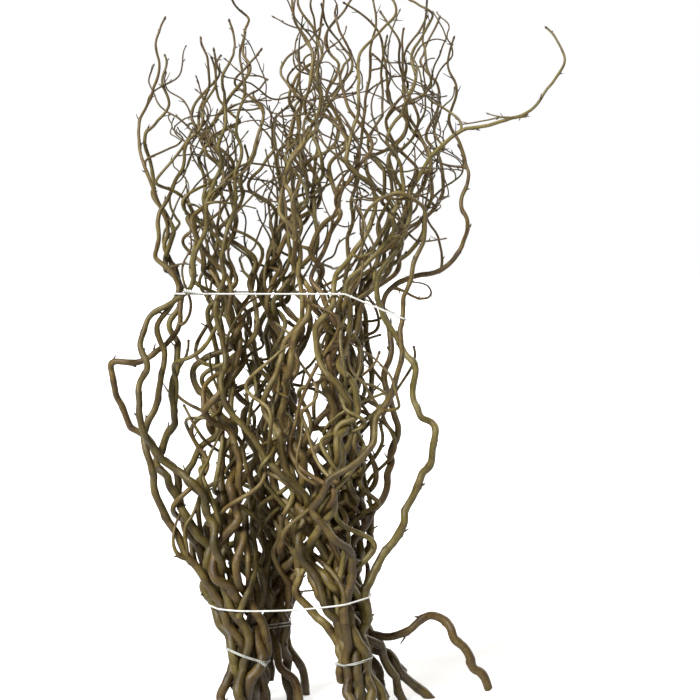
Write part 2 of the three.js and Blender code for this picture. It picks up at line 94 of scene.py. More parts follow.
# Sizes of one branch, as in the model. Here and below, a pair that drawn_from takes is the least that a
# random number is, and how much more it may be.
BUTT_RADIUS = 6.6
DRAWN_GIRTH = (0.95, 0.12)  # in shares of BUTT_RADIUS, for a stem whose bends are drawn
RULE_GIRTH = (0.86, 0.28)  # and for one that grows by rule
TIP_RADIUS = 1.4
TWIGS = 2
TWIG_SHARE = 0.62
TWIG_FORK = (0.55, 0.1)  # how far up its stem the first twig forks off
TWIG_FORK_STEP = 0.14  # and from one to the next
TWIG_POINTS = (6, 3)
TWIG_TIP_RADIUS = 1.0
DRAWN_STEP = 26.0
RULE_STEP = 24.5
RULE_FOOT = (12, 30)  # the height of a foot that is off the floor
RULE_TOP = (0.88, 0.11)  # in shares of CROWN_TOP

# Sizes of the bunch, as in the model
MIDDLE = (46.1859, -8.7081)  # from the origin to the middle of the branches, before the bunch is centred
CROWN_MIDDLE = np.array([12.0, 0.0])
CROWN_HALF = np.array([220.0, 125.0])
CROWN_TOP = 1000.0
CROWN_EDGE = 0.85  # farther out in the crown than this, shoots are pulled back in and no twig forks off
CROWN_PULL = 0.7
CROWN_ROOM = 30.0  # nearer to the crown's top than this, shoots turn down
CROWN_SINK = -0.7
CORD_RADIUS = 1.4

# Four sheaves of branches. An outline row is height, middle x, middle y, half-width x, half-width y.
# ring is the sheaf's own tie: middle x, y, z, the radius it gathers the sheaf into, its tilt to the right.
SHEAVES = [
    {
        "name": "left_front", "ring": (-70, -34, 80, 31, -0.34),
        "outline": [
            (0, -74, -36, 44, 36), (80, -70, -34, 22, 22), (147, -86, -30, 35, 26),
            (220, -108, -32, 44, 36), (300, -122, -36, 62, 48), (440, -122, -40, 74, 58),
            (565, -102, -30, 56, 42), (615, -128, -34, 72, 52), (700, -130, -36, 76, 58),
            (850, -120, -38, 88, 72), (1000, -100, -26, 84, 64),
        ],
    },
    {
        "name": "left_back", "ring": (-43, 38, 108, 32, 0.1),
        "outline": [
            (0, -34, 42, 50, 36), (108, -43, 38, 22, 22), (147, -32, 36, 34, 27), (220, -32, 38, 48, 36),
            (300, -48, 40, 64, 46), (440, -58, 44, 76, 56), (565, -62, 34, 56, 42), (680, -56, 38, 80, 56),
            (850, -46, 40, 92, 72), (1000, -44, 30, 88, 64),
        ],
    },
    {
        "name": "right_front", "ring": (72, -36, 72, 29, 0.24),
        "outline": [
            (0, 74, -38, 72, 38), (72, 72, -36, 20, 20), (147, 44, -32, 33, 24), (220, 26, -34, 46, 36),
            (300, 14, -38, 64, 46), (440, 22, -42, 76, 54), (565, 24, -32, 56, 42), (660, 42, -36, 84, 56),
            (850, 58, -36, 96, 72), (1000, 66, -26, 90, 64),
        ],
    },
    {
        "name": "right_back", "ring": (66, 36, 126, 31, 0),
        "outline": [
            (0, 124, 44, 72, 38), (70, 88, 40, 32, 26), (126, 66, 36, 21, 21), (155, 56, 36, 32, 26),
            (220, 52, 38, 44, 34), (300, 56, 42, 56, 46), (440, 66, 44, 66, 54), (560, 68, 34, 52, 42),
            (610, 122, 36, 66, 50), (690, 146, 38, 74, 56), (850, 146, 40, 84, 72), (1000, 120, 30, 84, 64),
        ],
    },
]

# Stems that stand out in the outline of the bunch: name, sheaf, depth in it, and their bends from the
# cut end up, as x and height.
DRAWN = [
    ("right_outer", 2, -0.1, [
        (130, 0), (119, 32), (86, 95), (90, 135), (86, 167), (107, 207), (135, 247), (151, 301), (176, 339),
        (173, 359), (184, 385), (176, 400), (159, 396), (149, 439), (154, 470), (127, 505), (97, 576),
        (130, 632), (144, 662), (140, 697), (173, 751), (211, 782), (275, 795), (318, 819), (333, 849),
        (350, 865), (350, 883), (341, 907), (328, 919)]),
    ("right_second", 3, -0.6, [
        (112, 0), (82, 59), (84, 122), (74, 151), (62, 178), (61, 211), (89, 259), (116, 296), (116, 321),
        (127, 335), (115, 346), (138, 371), (123, 406), (111, 451), (124, 508), (106, 543), (120, 574),
        (152, 592), (186, 588), (208, 612), (226, 650), (214, 688), (228, 728), (212, 768), (196, 800),
        (212, 838), (192, 872), (204, 905)]),
    ("arch", 2, -1.25, [
        (70, 0), (54, 59), (62, 90), (51, 147), (70, 202), (63, 225), (24, 265), (12, 284), (38, 308),
        (43, 329), (81, 350), (99, 373), (96, 397), (119, 431), (135, 491), (131, 522), (146, 594),
        (167, 650), (165, 680), (140, 698), (118, 697), (90, 681), (81, 641), (84, 614), (81, 585),
        (68, 566)]),
    ("diagonal", 2, -0.8, [
        (58, 0), (66, 59), (42, 122), (30, 150), (24, 181), (-5, 220), (-8, 234), (4, 258), (-5, 296),
        (-46, 347), (-73, 390), (-100, 415), (-104, 458), (-97, 489), (-115, 543), (-97, 594), (-105, 624),
        (-81, 684), (-88, 718), (-73, 748), (-84, 790), (-66, 830), (-80, 870), (-70, 905)]),
    ("elbow", 0, 0.1, [
        (-86, 0), (-92, 30), (-84, 59), (-113, 143), (-143, 221), (-163, 270), (-160, 315), (-189, 343),
        (-205, 370), (-236, 390), (-242, 424), (-254, 468), (-240, 479), (-205, 470), (-189, 489),
        (-159, 520), (-162, 564), (-165, 591), (-186, 624), (-173, 643), (-189, 691), (-217, 765),
        (-216, 802), (-192, 835), (-184, 873), (-195, 905), (-180, 930)]),
    ("spike", 0, -0.4, [
        (-105, 0), (-109, 30), (-96, 84), (-116, 147), (-131, 182), (-158, 210), (-168, 243), (-182, 270),
        (-198, 300), (-194, 325), (-213, 381), (-189, 414), (-189, 448), (-176, 482), (-194, 520),
        (-173, 551), (-153, 568), (-165, 596), (-198, 612), (-184, 630), (-189, 659), (-169, 705),
        (-151, 729), (-154, 752), (-124, 791), (-127, 815), (-105, 850), (-112, 885)]),
    ("bow", 0, -0.9, [
        (-58, 0), (-76, 59), (-70, 86), (-92, 147), (-105, 205), (-123, 278), (-140, 317), (-178, 340),
        (-200, 371), (-211, 432), (-208, 455), (-193, 471), (-212, 495), (-205, 530), (-146, 568),
        (-135, 590), (-140, 613), (-116, 659), (-124, 684), (-100, 732), (-105, 759), (-92, 800),
        (-100, 840), (-80, 880), (-90, 920)]),
    ("prop", 3, -0.2, [
        (256, 16), (245, 39), (229, 60), (213, 78), (204, 98), (195, 110), (185, 113), (165, 110),
        (147, 96), (131, 81), (107, 76), (86, 98), (74, 147), (49, 219), (70, 273), (76, 327), (54, 381),
        (70, 435), (51, 486), (57, 525), (49, 545), (68, 599), (61, 630), (73, 657), (68, 691), (81, 721),
        (76, 759), (89, 788), (84, 826), (97, 856), (92, 890), (104, 930), (98, 960)]),
]
RULE_STEMS = [6, 8, 6, 8]

# A stem's crookedness, as in the model: waves of length along the height and swing to each side,
# how far they also lift and lower it, and how freely they swing at each height.
WAVES = [(230, 15), (104, 13), (66, 7)]
WAVE_STRETCH, WAVE_SIZE = (0.8, 0.45), (0.6, 0.8)  # what the lengths and swings are multiplied by
RISE_SHARE = 0.55
DRAWN_SWAY = 0.6  # how far the waves swing a drawn stem in depth
FREEDOM = [(0, 0.3), (60, 0.6), (150, 0.75), (230, 1.05), (500, 1.05), (565, 0.75), (660, 1.1), (1000, 1.2)]
LANE_TURN = 2.399963  # from each stem's lane to the next, round the middle of the sheaf
GROUNDED = 0.65  # how many of the stems that grow by rule reach the floor
DRIFT_HEIGHT = 700.0  # where a stem has drifted to its last lane
FOOT_POINTS = 4  # the first points of a stem, over which its lift sets in

# Settling: how the branches bend aside for each other
STIFFNESS = 0.35  # how far a bend spreads along a shoot in each round
PUSH = 0.52  # each of two close shoots gives way by this share of the clearance that they lack
FLOOR_GAP = 1.0  # between the floor and what doesn't stand on it
WATCH_ROUNDS = 10  # how often the close pairs are found again
RING_REACH = 30.0  # how far above and below a sheaf's tie its stems are gathered
RING_MARGIN = 25.0  # what runs farther outside the tie than this is left there
BLOCK = 256  # segments that are compared with their neighbours at a time

# What the shoots get here that the model leaves out
FINE_STEPS = 3  # places along a shoot for each of the model's, from the second settling on
SKIN_STEPS = 3  # rings of skin for each of those
# Small crooks: length along the shoot and swing to each side. They die out at its ends, over FINE_WAVE_RUN
FINE_WAVES = [(64.0, 0.9), (47.0, 0.6), (26.0, 0.25)]
FINE_WAVE_RUN = 30.0
FINE_WAVE_STRETCH = (0.8, 0.4)  # what their lengths are multiplied by
FINE_WAVE_RADIUS = 3.6  # where a shoot is thicker than this they swing farther, and the long ones most
FINE_WAVE_GROWTH = 1 / 38
SIDE_LEVELS = [(170.0, 430.0), (45.0, 190.0)]  # between each two heights, a thinner stem leaves each stem
SIDE_SHARE = 0.78
SIDE_RUN = 95.0  # how soon a side shoot has its own place in the sheaf
SIDE_REACH = 70.0  # and how far off that may be: the stems farthest out have no side shoots
SIDE_STEP = 9.0
SIDE_POINTS = (30, 16)
SIDE_SWAY = 1.3  # a side shoot swings farther than a stem by this factor
SIDE_GIRTH = (0.8, 0.3)
SIDE_TIP_RADIUS = 1.7
FINE_TWIGS = 7
FINE_TWIG_POINTS = (8, 14)
CARRIER_POINTS = 12  # they grow on shoots with more points than this
STEM_SPAN, SHOOT_SPAN = (0.5, 0.93), (0.35, 0.93)  # where along a stem or another shoot, in shares of it
FINE_TWIG_RADIUS = 2.1
FINE_TWIG_GIRTH = (0.8, 0.5)
FINE_TWIG_SHARE = 0.75  # of the radius of what carries it, at most
FINE_TWIG_LEVEL = 660.0  # none of them grow below this
FINE_TIP_RADIUS = 0.9
FORK_POINTS = 6  # the first places of a shoot, which may lie against the shoots that it grows from
NODE_GAP = 33.0  # from one leaf scar to the next

# For each use of random draws: its first seed, and two steps, one for the branch or the shoot that it is
# for, and one for the side shoot or for the letters of the branch's name
SEEDS = {
    "drawn": (101, 17, 0), "rule": (977, 131, 0), "twigs": (5003, 71, 0), "crooks": (7001, 53, 1),
    "sides": (9001, 37, 2003), "fine twigs": (12007, 41, 0), "skin": (20011, 97, 0),
}


@dataclass
class Habit:
    """How a kind of shoot grows from its fork."""

    step: float  # from each point to the next
    spread: float  # how far it leaves its parent's heading any way
    outward: float  # and how far out of the crown
    turn: float  # how far it turns at each point
    memory: float  # how much of the last turn comes again, which makes it curl
    lift: float  # how far it turns up at each point


TWIG_HABIT = Habit(step=25.0, spread=0.8, outward=0.3, turn=0.85, memory=0.0, lift=0.35)
FINE_HABIT = Habit(step=8.0, spread=0.9, outward=0.2, turn=0.26, memory=0.8, lift=0.08)


@dataclass
class Shoot:
    """One crooked shoot: its points from root to tip, and its radius at each end."""

    kind: str
    points: np.ndarray
    butt: float
    tip: float
    parent: int = -1  # which shoot of the branch it leaves, and at which of its points
    at: int = 0

    def radii(self, count=None):
        """The radius goes evenly from butt to tip."""
        return np.linspace(self.butt, self.tip, count or len(self.points))


@dataclass
class Branch:
    """A branch: its stem first, then what grows on it."""

    name: str
    sheaf: int
    shoots: list


def draws(seed):
    """Numbers from 0 to 1 that come out the same every time: each state is the last one times a constant
    plus another, kept to 32 bits.
    """
    state = seed
    while True:
        state = (state * 1664525 + 1013904223) % 2**32
        yield state / 2**32


def drawn_from(draw, least, more):
    """A random number from least to more above it."""
    return least + more * next(draw)


def draws_for(use, i, n=0):
    """The draws for a use in SEEDS. The seed is its first one plus i and n times its steps."""
    first, step, inner = SEEDS[use]
    return draws(first + step * i + inner * n)


def unit(vectors):
    """Each vector over its own length."""
    return vectors / np.maximum(np.linalg.norm(vectors, axis=-1, keepdims=True), 1e-9)


def between(rows, places):
    """The values of rows of (place, value, value, ...) at places between them, on straight lines."""
    table = np.array(rows, float)
    return [np.interp(places, table[:, 0], column) for column in table[:, 1:].T]


def swing(draw):
    """A function of height that swings a stem to and fro: the sum of sines, one for each of WAVES, with
    their own lengths and sizes.
    """
    waves = [(
        length * drawn_from(draw, *WAVE_STRETCH),
        size * drawn_from(draw, *WAVE_SIZE),
        2 * math.pi * next(draw),
    ) for length, size in WAVES]
    return lambda z: sum(size * np.sin(2 * math.pi * z / length + phase) for length, size, phase in waves)


def cubic_between(a, b, c, d, t):
    """The place at share t on the smooth line from b to c, whose slope at each is half the way from the
    point before it to the one after.
    """
    return b + 0.5 * t * (c - a + t * (2 * a - 5 * b + 4 * c - d + t * (3 * (b - c) + d - a)))


def curve_through(points, counts):
    """A smooth line through points, with so many places for each stretch between two of them."""
    padded = np.concatenate([points[:1], points, points[-1:]])
    counts = np.broadcast_to(counts, len(points) - 1)
    stretch = np.repeat(np.arange(len(counts)), counts)
    t = (np.arange(len(stretch)) - np.repeat(np.cumsum(counts) - counts, counts)) / counts[stretch]
    a, b, c, d = (padded[stretch + k] for k in range(4))
    return np.concatenate([cubic_between(a, b, c, d, t[:, None]), points[-1:]])


def resampled(bends, step):
    """The same smooth line with as many places in each stretch as the stretch has steps."""
    gaps = np.linalg.norm(np.diff(bends, axis=0), axis=1)
    return curve_through(bends, np.maximum(1, np.floor(gaps / step + 0.5)).astype(int))


def drawn_stem(sheaf, depth, bends, draw):
    """A stem whose bends are drawn: its depth follows its sheaf, with a swing of its own."""
    sway = swing(draw)
    girth = drawn_from(draw, *DRAWN_GIRTH)
    x, z = resampled(np.array(bends, float), DRAWN_STEP).T
    _, y, _, half_y = between(SHEAVES[sheaf]["outline"], z)
    (freedom,) = between(FREEDOM, z)
    points = np.stack([x, y + depth * half_y + DRAWN_SWAY * freedom * sway(z), z], axis=1)
    return Shoot("stem", points, BUTT_RADIUS * girth, TIP_RADIUS)


def lane_at(angle, share):
    """A lane of a sheaf: which way from its middle, and how far out as a share of its area."""
    return math.sqrt(share) * math.cos(angle), math.sqrt(share) * math.sin(angle)


def in_sheaf(sheaf, lane, z, sways):
    """The place of a lane at each height, and how far the stem swings from it on all three axes."""
    x, y, half_x, half_y = between(SHEAVES[sheaf]["outline"], z)
    (freedom,) = between(FREEDOM, z)
    return np.stack([
        x + lane[0] * half_x + freedom * sways[0](z),
        y + lane[1] * half_y + freedom * sways[1](z),
        RISE_SHARE * freedom * sways[2](z),
    ], axis=1)


def rule_stem(sheaf, lane, draw):
    """A stem that grows by rule: it drifts from one lane of its sheaf to another, and swings all ways."""
    sways = [swing(draw), swing(draw), swing(draw)]
    girth = drawn_from(draw, *RULE_GIRTH)
    foot = 0.0 if next(draw) < GROUNDED else drawn_from(draw, *RULE_FOOT)
    top = CROWN_TOP * drawn_from(draw, *RULE_TOP)
    low = lane_at(lane * LANE_TURN + sheaf, (lane + 0.5) / RULE_STEMS[sheaf])
    high = lane_at(2 * math.pi * next(draw), next(draw))
    count = math.floor((top - foot) / RULE_STEP + 0.5) + 1
    k = np.arange(count)
    z = foot + (top - foot) * k / (count - 1)
    drift = np.minimum(z / DRIFT_HEIGHT, 1)
    points = in_sheaf(sheaf, [a + (b - a) * drift for a, b in zip(low, high)], z, sways)
    points[:, 2] = z + np.minimum(k / FOOT_POINTS, 1) * points[:, 2]
    return Shoot("stem", points, BUTT_RADIUS * girth, TIP_RADIUS)


def out_of_crown(point):
    """How far out in the crown a point is: 1 at its edge."""
    return np.linalg.norm((point[:2] - CROWN_MIDDLE) / CROWN_HALF)


def crown_pull(point):
    """The way back in from a point that is too far out in the crown, and how hard it is pulled there."""
    inward = unit(np.append(CROWN_MIDDLE - point[:2], 0.0))
    return inward * (CROWN_PULL if out_of_crown(point) > CROWN_EDGE else 0.0)


def wander(root, heading, count, draw, habit):
    """Points a step apart.

    At each the heading gets a turn, a lift and the pull back into the crown. A turn is a random one plus
    the last one times the habit's memory.
    """
    points, bend = [root], 0.0
    for _ in range(1, count):
        last = points[-1]
        rise = np.array([0, 0, CROWN_SINK if last[2] > CROWN_TOP - CROWN_ROOM else habit.lift])
        bend = habit.memory * bend + habit.turn * random_way(draw)
        heading = unit(heading + bend + rise + crown_pull(last))
        points.append(last + habit.step * heading)
    return np.array(points)


def random_way(draw):
    """A vector with each part between -1 and 1."""
    return np.array([2 * next(draw) - 1, 2 * next(draw) - 1, 2 * next(draw) - 1])


def offshoot(kind, habit, shoots, parent, at, count, draw, butt, tip):
    """A shoot that forks from another at one of its points, with a habit of its own."""
    points = shoots[parent].points
    along = unit(points[at + 1] - points[at - 1])
    out = unit(np.append(points[at][:2] - CROWN_MIDDLE, 0.0))
    heading = unit(along + habit.outward * out + habit.spread * random_way(draw))
    return Shoot(kind, wander(points[at], heading, count, draw, habit), butt, tip, parent, at)


def grow_branches():
    """Every branch as the model has it: the stem first, then its twigs."""
    stems = [
        (name, sheaf, drawn_stem(sheaf, depth, bends, draws_for("drawn", i)))
        for i, (name, sheaf, depth, bends) in enumerate(DRAWN)
    ]
    for s, sheaf in enumerate(SHEAVES):
        for lane in range(RULE_STEMS[s]):
            stem = rule_stem(s, lane, draws_for("rule", len(stems)))
            stems.append((f"{sheaf['name']}_{lane + 1}", s, stem))
    branches = []
    for i, (name, sheaf, stem) in enumerate(stems):
        draw = draws_for("twigs", i)
        shoots = [stem]
        for k in range(TWIGS):
            share = drawn_from(draw, TWIG_FORK[0] + TWIG_FORK_STEP * k, TWIG_FORK[1])
            at = math.floor(len(stem.points) * share + 0.5)
            while out_of_crown(stem.points[at]) > CROWN_EDGE:
                at -= 1
            count = math.floor(drawn_from(draw, *TWIG_POINTS)) - k
            butt = stem.radii()[at] * TWIG_SHARE
            shoots.append(offshoot("twig", TWIG_HABIT, shoots, 0, at, count, draw, butt, TWIG_TIP_RADIUS))
        branches.append(Branch(name, sheaf, shoots))
    return branches


def settle(branches, rounds, free_rounds, clearance, near, among_shoots):
    """Bends the branches aside until no two of them touch, nor two shoots of one branch if among_shoots
    says so.

    Each round pushes close pairs of segments apart, gathers the stems in their ties and shares each point's
    move with its neighbours.
    """
    shoots = [(b, shoot) for b, branch in enumerate(branches) for shoot in branch.shoots]
    sizes = np.array([len(shoot.points) for _, shoot in shoots])
    firsts = np.cumsum(sizes) - sizes
    first_of = {(b, id(shoot)): first for (b, shoot), first in zip(shoots, firsts)}
    start = np.concatenate([shoot.points for _, shoot in shoots])
    radius = np.concatenate([shoot.radii() for _, shoot in shoots])
    owner = np.repeat([b for b, _ in shoots], sizes)
    sheaf = np.array([branch.sheaf for branch in branches])[owner]
    index = np.arange(len(start))
    first, last = np.repeat(firsts, sizes), np.repeat(firsts + sizes - 1, sizes)
    before, after = np.maximum(index - 1, first), np.minimum(index + 1, last)
    feet = np.array([f for (_, shoot), f in zip(shoots, firsts) if shoot.parent < 0])
    lifted = ~np.isin(index, feet)
    forks = [
        (f, first_of[b, id(branches[b].shoots[shoot.parent])] + shoot.at)
        for (b, shoot), f in zip(shoots, firsts) if shoot.parent >= 0
    ]
    tails = index[index != last]
    kin = np.repeat(np.arange(len(shoots)), sizes) if among_shoots else owner
    grown = np.repeat([shoot.parent >= 0 for _, shoot in shoots], sizes)
    kin = np.stack([owner, kin, grown & (index - first < FORK_POINTS)])
    at, move = start.copy(), np.zeros_like(start)
    for turn in range(rounds):
        if turn % WATCH_ROUNDS == 0:
            pairs = near_pairs(at, radius, kin, tails, near)
        move += push_apart(at, radius, pairs, clearance)
        gather(start, move, at[:, 2], radius, sheaf)
        if turn < rounds - free_rounds:
            move += STIFFNESS * (0.5 * (move[before] + move[after]) - move)
        move[feet, 2] = 0
        for root, parent in forks:
            move[root] = move[parent]
        at = start + move
        at[lifted, 2] = np.maximum(at, radius[:, None] + FLOOR_GAP)[lifted, 2]
    for (_, shoot), f, size in zip(shoots, firsts, sizes):
        shoot.points = at[f:f + size]


def near_pairs(at, radius, kin, tails, near):
    """The pairs of segments whose middles are closer than half their lengths, their radii and a margin.

    They are of different branches, or of different shoots and neither at a fork: kin has each point's
    branch and shoot, and whether it is at a fork. A segment is named by the point that it starts from.
    """
    middle = 0.5 * (at[tails] + at[tails + 1])
    reach = 0.5 * np.linalg.norm(at[tails + 1] - at[tails], axis=1) + radius[tails]
    order = np.argsort(middle[:, 2], kind="stable")
    height, widest = middle[order, 2], 2 * reach.max() + near
    found = []
    for low in range(0, len(order), BLOCK):
        high = min(low + BLOCK, len(order))
        until = np.searchsorted(height, height[high - 1] + widest)
        one, other = order[low:high, None], order[None, low:until]
        limit = reach[one] + reach[other] + near
        close = ((middle[one] - middle[other]) ** 2).sum(-1) < limit**2
        branch, shoot, fork = kin[:, tails[one]]
        others_branch, others_shoot, others_fork = kin[:, tails[other]]
        close &= (branch != others_branch) | ((shoot != others_shoot) & (fork + others_fork == 0))
        close &= np.arange(low, high)[:, None] < np.arange(low, until)[None]
        i, j = np.nonzero(close)
        found.append(np.stack([tails[order[low + i]], tails[order[low + j]]]))
    return np.concatenate(found, axis=1)


def push_apart(at, radius, pairs, clearance):
    """The move of each point that takes the segments of each close pair to their clearance: each of their
    four ends moves by its share of the way, and a point of several pairs by their mean.
    """
    a, c = pairs
    b, d = a + 1, c + 1
    u, v, w = at[b] - at[a], at[d] - at[c], at[a] - at[c]
    uu, uv, vv = (u * u).sum(1), (u * v).sum(1), (v * v).sum(1)
    uw, vw = (u * w).sum(1), (v * w).sum(1)
    s = np.clip((uv * vw - vv * uw) / np.maximum(uu * vv - uv * uv, 1e-9), 0, 1)
    t = np.clip((uv * s + vw) / vv, 0, 1)
    s = np.clip((uv * t - uw) / uu, 0, 1)
    apart = w + u * s[:, None] - v * t[:, None]
    thickness = radius[a] + (radius[b] - radius[a]) * s + radius[c] + (radius[d] - radius[c]) * t
    distance = np.linalg.norm(apart, axis=1)
    missing = thickness + clearance - distance
    hit = missing > 0
    a, b, c, d, s, t = (values[hit] for values in (a, b, c, d, s, t))
    push = apart[hit] * (PUSH * missing[hit] / np.maximum(distance[hit], 1e-6))[:, None]
    ends = np.concatenate([a, b, c, d])
    weight = np.concatenate([1 - s, s, 1 - t, t])
    rest = 1 - weight
    share = weight / (weight**2 + rest**2) * np.repeat([1, -1], 2 * len(s))
    pushed = np.tile(push, (4, 1)) * share[:, None]
    total = np.stack([np.bincount(ends, column, len(at)) for column in pushed.T], axis=1)
    count = np.bincount(ends, weight > 0.01, len(at))
    return total / np.maximum(count, 1)[:, None] * (count > 0)[:, None]


def gather(start, move, height, radius, own):
    """Keeps each point in its own sheaf's tie, unless it starts far outside, and out of the others'."""
    for s, sheaf in enumerate(SHEAVES):
        x, y, z, size, _ = sheaf["ring"]
        out = (start + move)[:, :2] - (x, y)
        distance = np.maximum(np.linalg.norm(out, axis=1), 1e-6)
        far = np.linalg.norm(start[:, :2] - (x, y), axis=1) > size + RING_MARGIN
        inside = np.where(far, 0, np.minimum(size - radius - distance, 0))
        outside = np.maximum(size + radius + 2 * CORD_RADIUS + 1 - distance, 0)
        miss = np.where(own == s, inside, outside) * (np.abs(height - z) <= RING_REACH)
        move[:, :2] += out * (0.5 * miss / distance)[:, None]


def eased(points, share, times):
    """Rounds the corners of a line: each time, each point between the ends goes a share of the way to the
    middle of its neighbours.
    """
    points = points.copy()
    for _ in range(times):
        points[1:-1] += share * (0.5 * (points[:-2] + points[2:]) - points[1:-1])
    return points


def finer(branch):
    """The same branch with FINE_STEPS places for each of its own, rounder corners, and small crooks along
    each shoot that die out at its ends.
    """
    shoots = []
    for n, shoot in enumerate(branch.shoots):
        draw = draws_for("crooks", n, sum(branch.name.encode()))
        points = curve_through(eased(shoot.points, share=0.2, times=1), FINE_STEPS)
        points = eased(points, share=0.5, times=3)
        run = run_along(points)
        ends = np.clip(np.minimum(run, run[-1] - run) / FINE_WAVE_RUN, 0, 1)
        thick = np.maximum(shoot.radii(len(points)) / FINE_WAVE_RADIUS, 1)
        for length, size in FINE_WAVES:
            reach = size * ends * thick ** (FINE_WAVE_GROWTH * length)
            for axis in range(3):
                stretched = length * drawn_from(draw, *FINE_WAVE_STRETCH)
                points[:, axis] += reach * np.sin(2 * math.pi * run / stretched + 7 * next(draw))
        shoots.append(replace(shoot, points=points, at=shoot.at * FINE_STEPS))
    for shoot in shoots[1:]:
        shoot.points[0] = shoots[shoot.parent].points[shoot.at]
    return replace(branch, shoots=shoots)


def run_along(points):
    """How far along its line each point is."""
    return np.concatenate([[0], np.cumsum(np.linalg.norm(np.diff(points, axis=0), axis=1))])


def side_shoot(branch, levels, draw):
    """A thinner stem that leaves the stem low down.

    It rises straight at first, and within SIDE_RUN goes over, on a smooth step, to a lane of its own in the
    sheaf, with a stem's swings times SIDE_SWAY.
    """
    stem = branch.shoots[0]
    low, high = levels
    at = int(np.argmax(stem.points[:, 2] > low + (high - low) * next(draw)))
    root = stem.points[at]
    rise = SIDE_STEP * np.arange(int(drawn_from(draw, *SIDE_POINTS)))
    sways = [lambda z, sway=swing(draw): SIDE_SWAY * sway(z) for _ in range(3)]
    own = in_sheaf(branch.sheaf, lane_at(2 * math.pi * next(draw), next(draw)), root[2] + rise, sways)
    share = np.clip(rise / SIDE_RUN, 0, 1)
    if math.dist(own[share < 1][-1, :2], root[:2]) > SIDE_REACH:
        return
    share = (share * share * (3 - 2 * share))[:, None]
    points = root * [[1, 1, 0]] * (1 - share) + own * share
    points[:, 2] += root[2] + rise
    butt = stem.radii()[at] * SIDE_SHARE * drawn_from(draw, *SIDE_GIRTH)
    branch.shoots.append(Shoot("side", points, butt, SIDE_TIP_RADIUS, 0, at))


def smooth_sides(branch):
    """Rounds off the kinks that settling leaves in the side shoots. The shoots that they carry go along."""
    for n, shoot in enumerate(branch.shoots):
        if shoot.kind == "side":
            smooth = eased(shoot.points, share=0.5, times=4)
            for carried in branch.shoots:
                if carried.parent == n:
                    carried.points += smooth[carried.at] - shoot.points[carried.at]
            shoot.points = smooth


def fine_twigs(branch, i):
    """The thinnest twigs, which leave the other shoots where they are thin enough to carry them."""
    draw = draws_for("fine twigs", i)
    carriers = [n for n, shoot in enumerate(branch.shoots) if len(shoot.points) > CARRIER_POINTS]
    for _ in range(FINE_TWIGS):
        n = carriers[int(next(draw) * len(carriers)) if next(draw) < 0.5 else 0]
        carrier = branch.shoots[n]
        low, high = STEM_SPAN if n == 0 else SHOOT_SPAN
        at = int(drawn_from(draw, low, high - low) * (len(carrier.points) - 1))
        if carrier.points[at][2] < FINE_TWIG_LEVEL:
            continue
        butt = FINE_TWIG_RADIUS * drawn_from(draw, *FINE_TWIG_GIRTH)
        butt = min(butt, FINE_TWIG_SHARE * carrier.radii()[at])
        count = int(drawn_from(draw, *FINE_TWIG_POINTS))
        twig = offshoot("fine", FINE_HABIT, branch.shoots, n, at, count, draw, butt, FINE_TIP_RADIUS)
        branch.shoots.append(twig)


def frames_along(points):
    """The heading at each point, and two unit vectors square to it that turn no more than the line does.

    Each point first takes the axis that lies most square to its heading. The turn that this gives from
    point to point, against carrying the last pair over, is then summed up and turned back.
    """
    heading = unit(np.gradient(points, axis=0))
    axis = np.eye(3)[np.argmin(np.abs(heading), axis=1)]
    across = unit(axis - heading * (axis * heading).sum(1, keepdims=True))
    up = np.cross(heading, across)
    here, there = heading[:-1], heading[1:]
    lean = (across[:-1] * there).sum(1) / (1 + (here * there).sum(1))
    carried = across[:-1] - lean[:, None] * (here + there)
    slip = np.arctan2((carried * up[1:]).sum(1), (carried * across[1:]).sum(1))
    turn = np.concatenate([[0], np.cumsum(slip)])[:, None]
    return heading, np.cos(turn) * across + np.sin(turn) * up, np.cos(turn) * up - np.sin(turn) * across


def closed_tubes(rings, poles):
    """Vertices and faces of several tubes at once.

    rings is (tube, ring, side, 3), and poles (tube, 2, 3) are the points that close each tube's ends.
    """
    tubes, rows, sides, _ = rings.shape
    vertices = np.concatenate([rings.reshape(tubes, rows * sides, 3), poles], axis=1).reshape(-1, 3)
    row, side = np.meshgrid(np.arange(rows - 1), np.arange(sides), indexing="ij")
    far = (side + 1) % sides
    low, high = row * sides, (row + 1) * sides
    walls = np.stack([low + side, low + far, high + far, high + side], -1)
    side = np.arange(sides)
    far = (side + 1) % sides
    last = (rows - 1) * sides
    first = np.stack([np.full(sides, rows * sides), far, side], -1)
    end = np.stack([np.full(sides, rows * sides + 1), last + side, last + far], -1)
    shift = ((rows * sides + 2) * np.arange(tubes))[:, None, None]
    walls = (walls.reshape(1, -1, 4) + shift).reshape(-1, 4)
    caps = (np.concatenate([first, end])[None] + shift).reshape(-1, 3)
    return vertices, walls, caps


@dataclass
class Skin:
    """Vertices and faces of a part of a piece.

    place is each vertex's place on the straightened shoot, and look its tone, how dark it is, and whether
    it is cut wood.
    """

    vertices: np.ndarray
    walls: np.ndarray
    caps: np.ndarray
    place: np.ndarray
    look: np.ndarray


SIDES = {"stem": 14, "twig": 9, "side": 10, "fine": 7}

# The bark's relief, in shares of the radius, with lengths along the shoot
LUMPS = [(0.03, 23, 2), (0.03, 41, -1), (0.015, 8.7, 3), (0.025, 14, 0)]  # share, length, times round
SWELLING, SWELLING_LENGTH = 0.07, 5.5  # all round, at each leaf scar
CUSHION, CUSHION_LENGTH, CUSHION_BELOW = 0.16, 3.2, 0.8  # on the scar's side, and how far below it
SHADE, SHADE_LENGTH = 0.5, 4.5  # how dark the bark is there
FLARE, FLARE_LENGTH = 0.45, 1.6  # at a shoot's fork, in shares of its radius there
PATTERN_RUN = 5000.0  # the stretch of bark pattern in which each shoot has its place

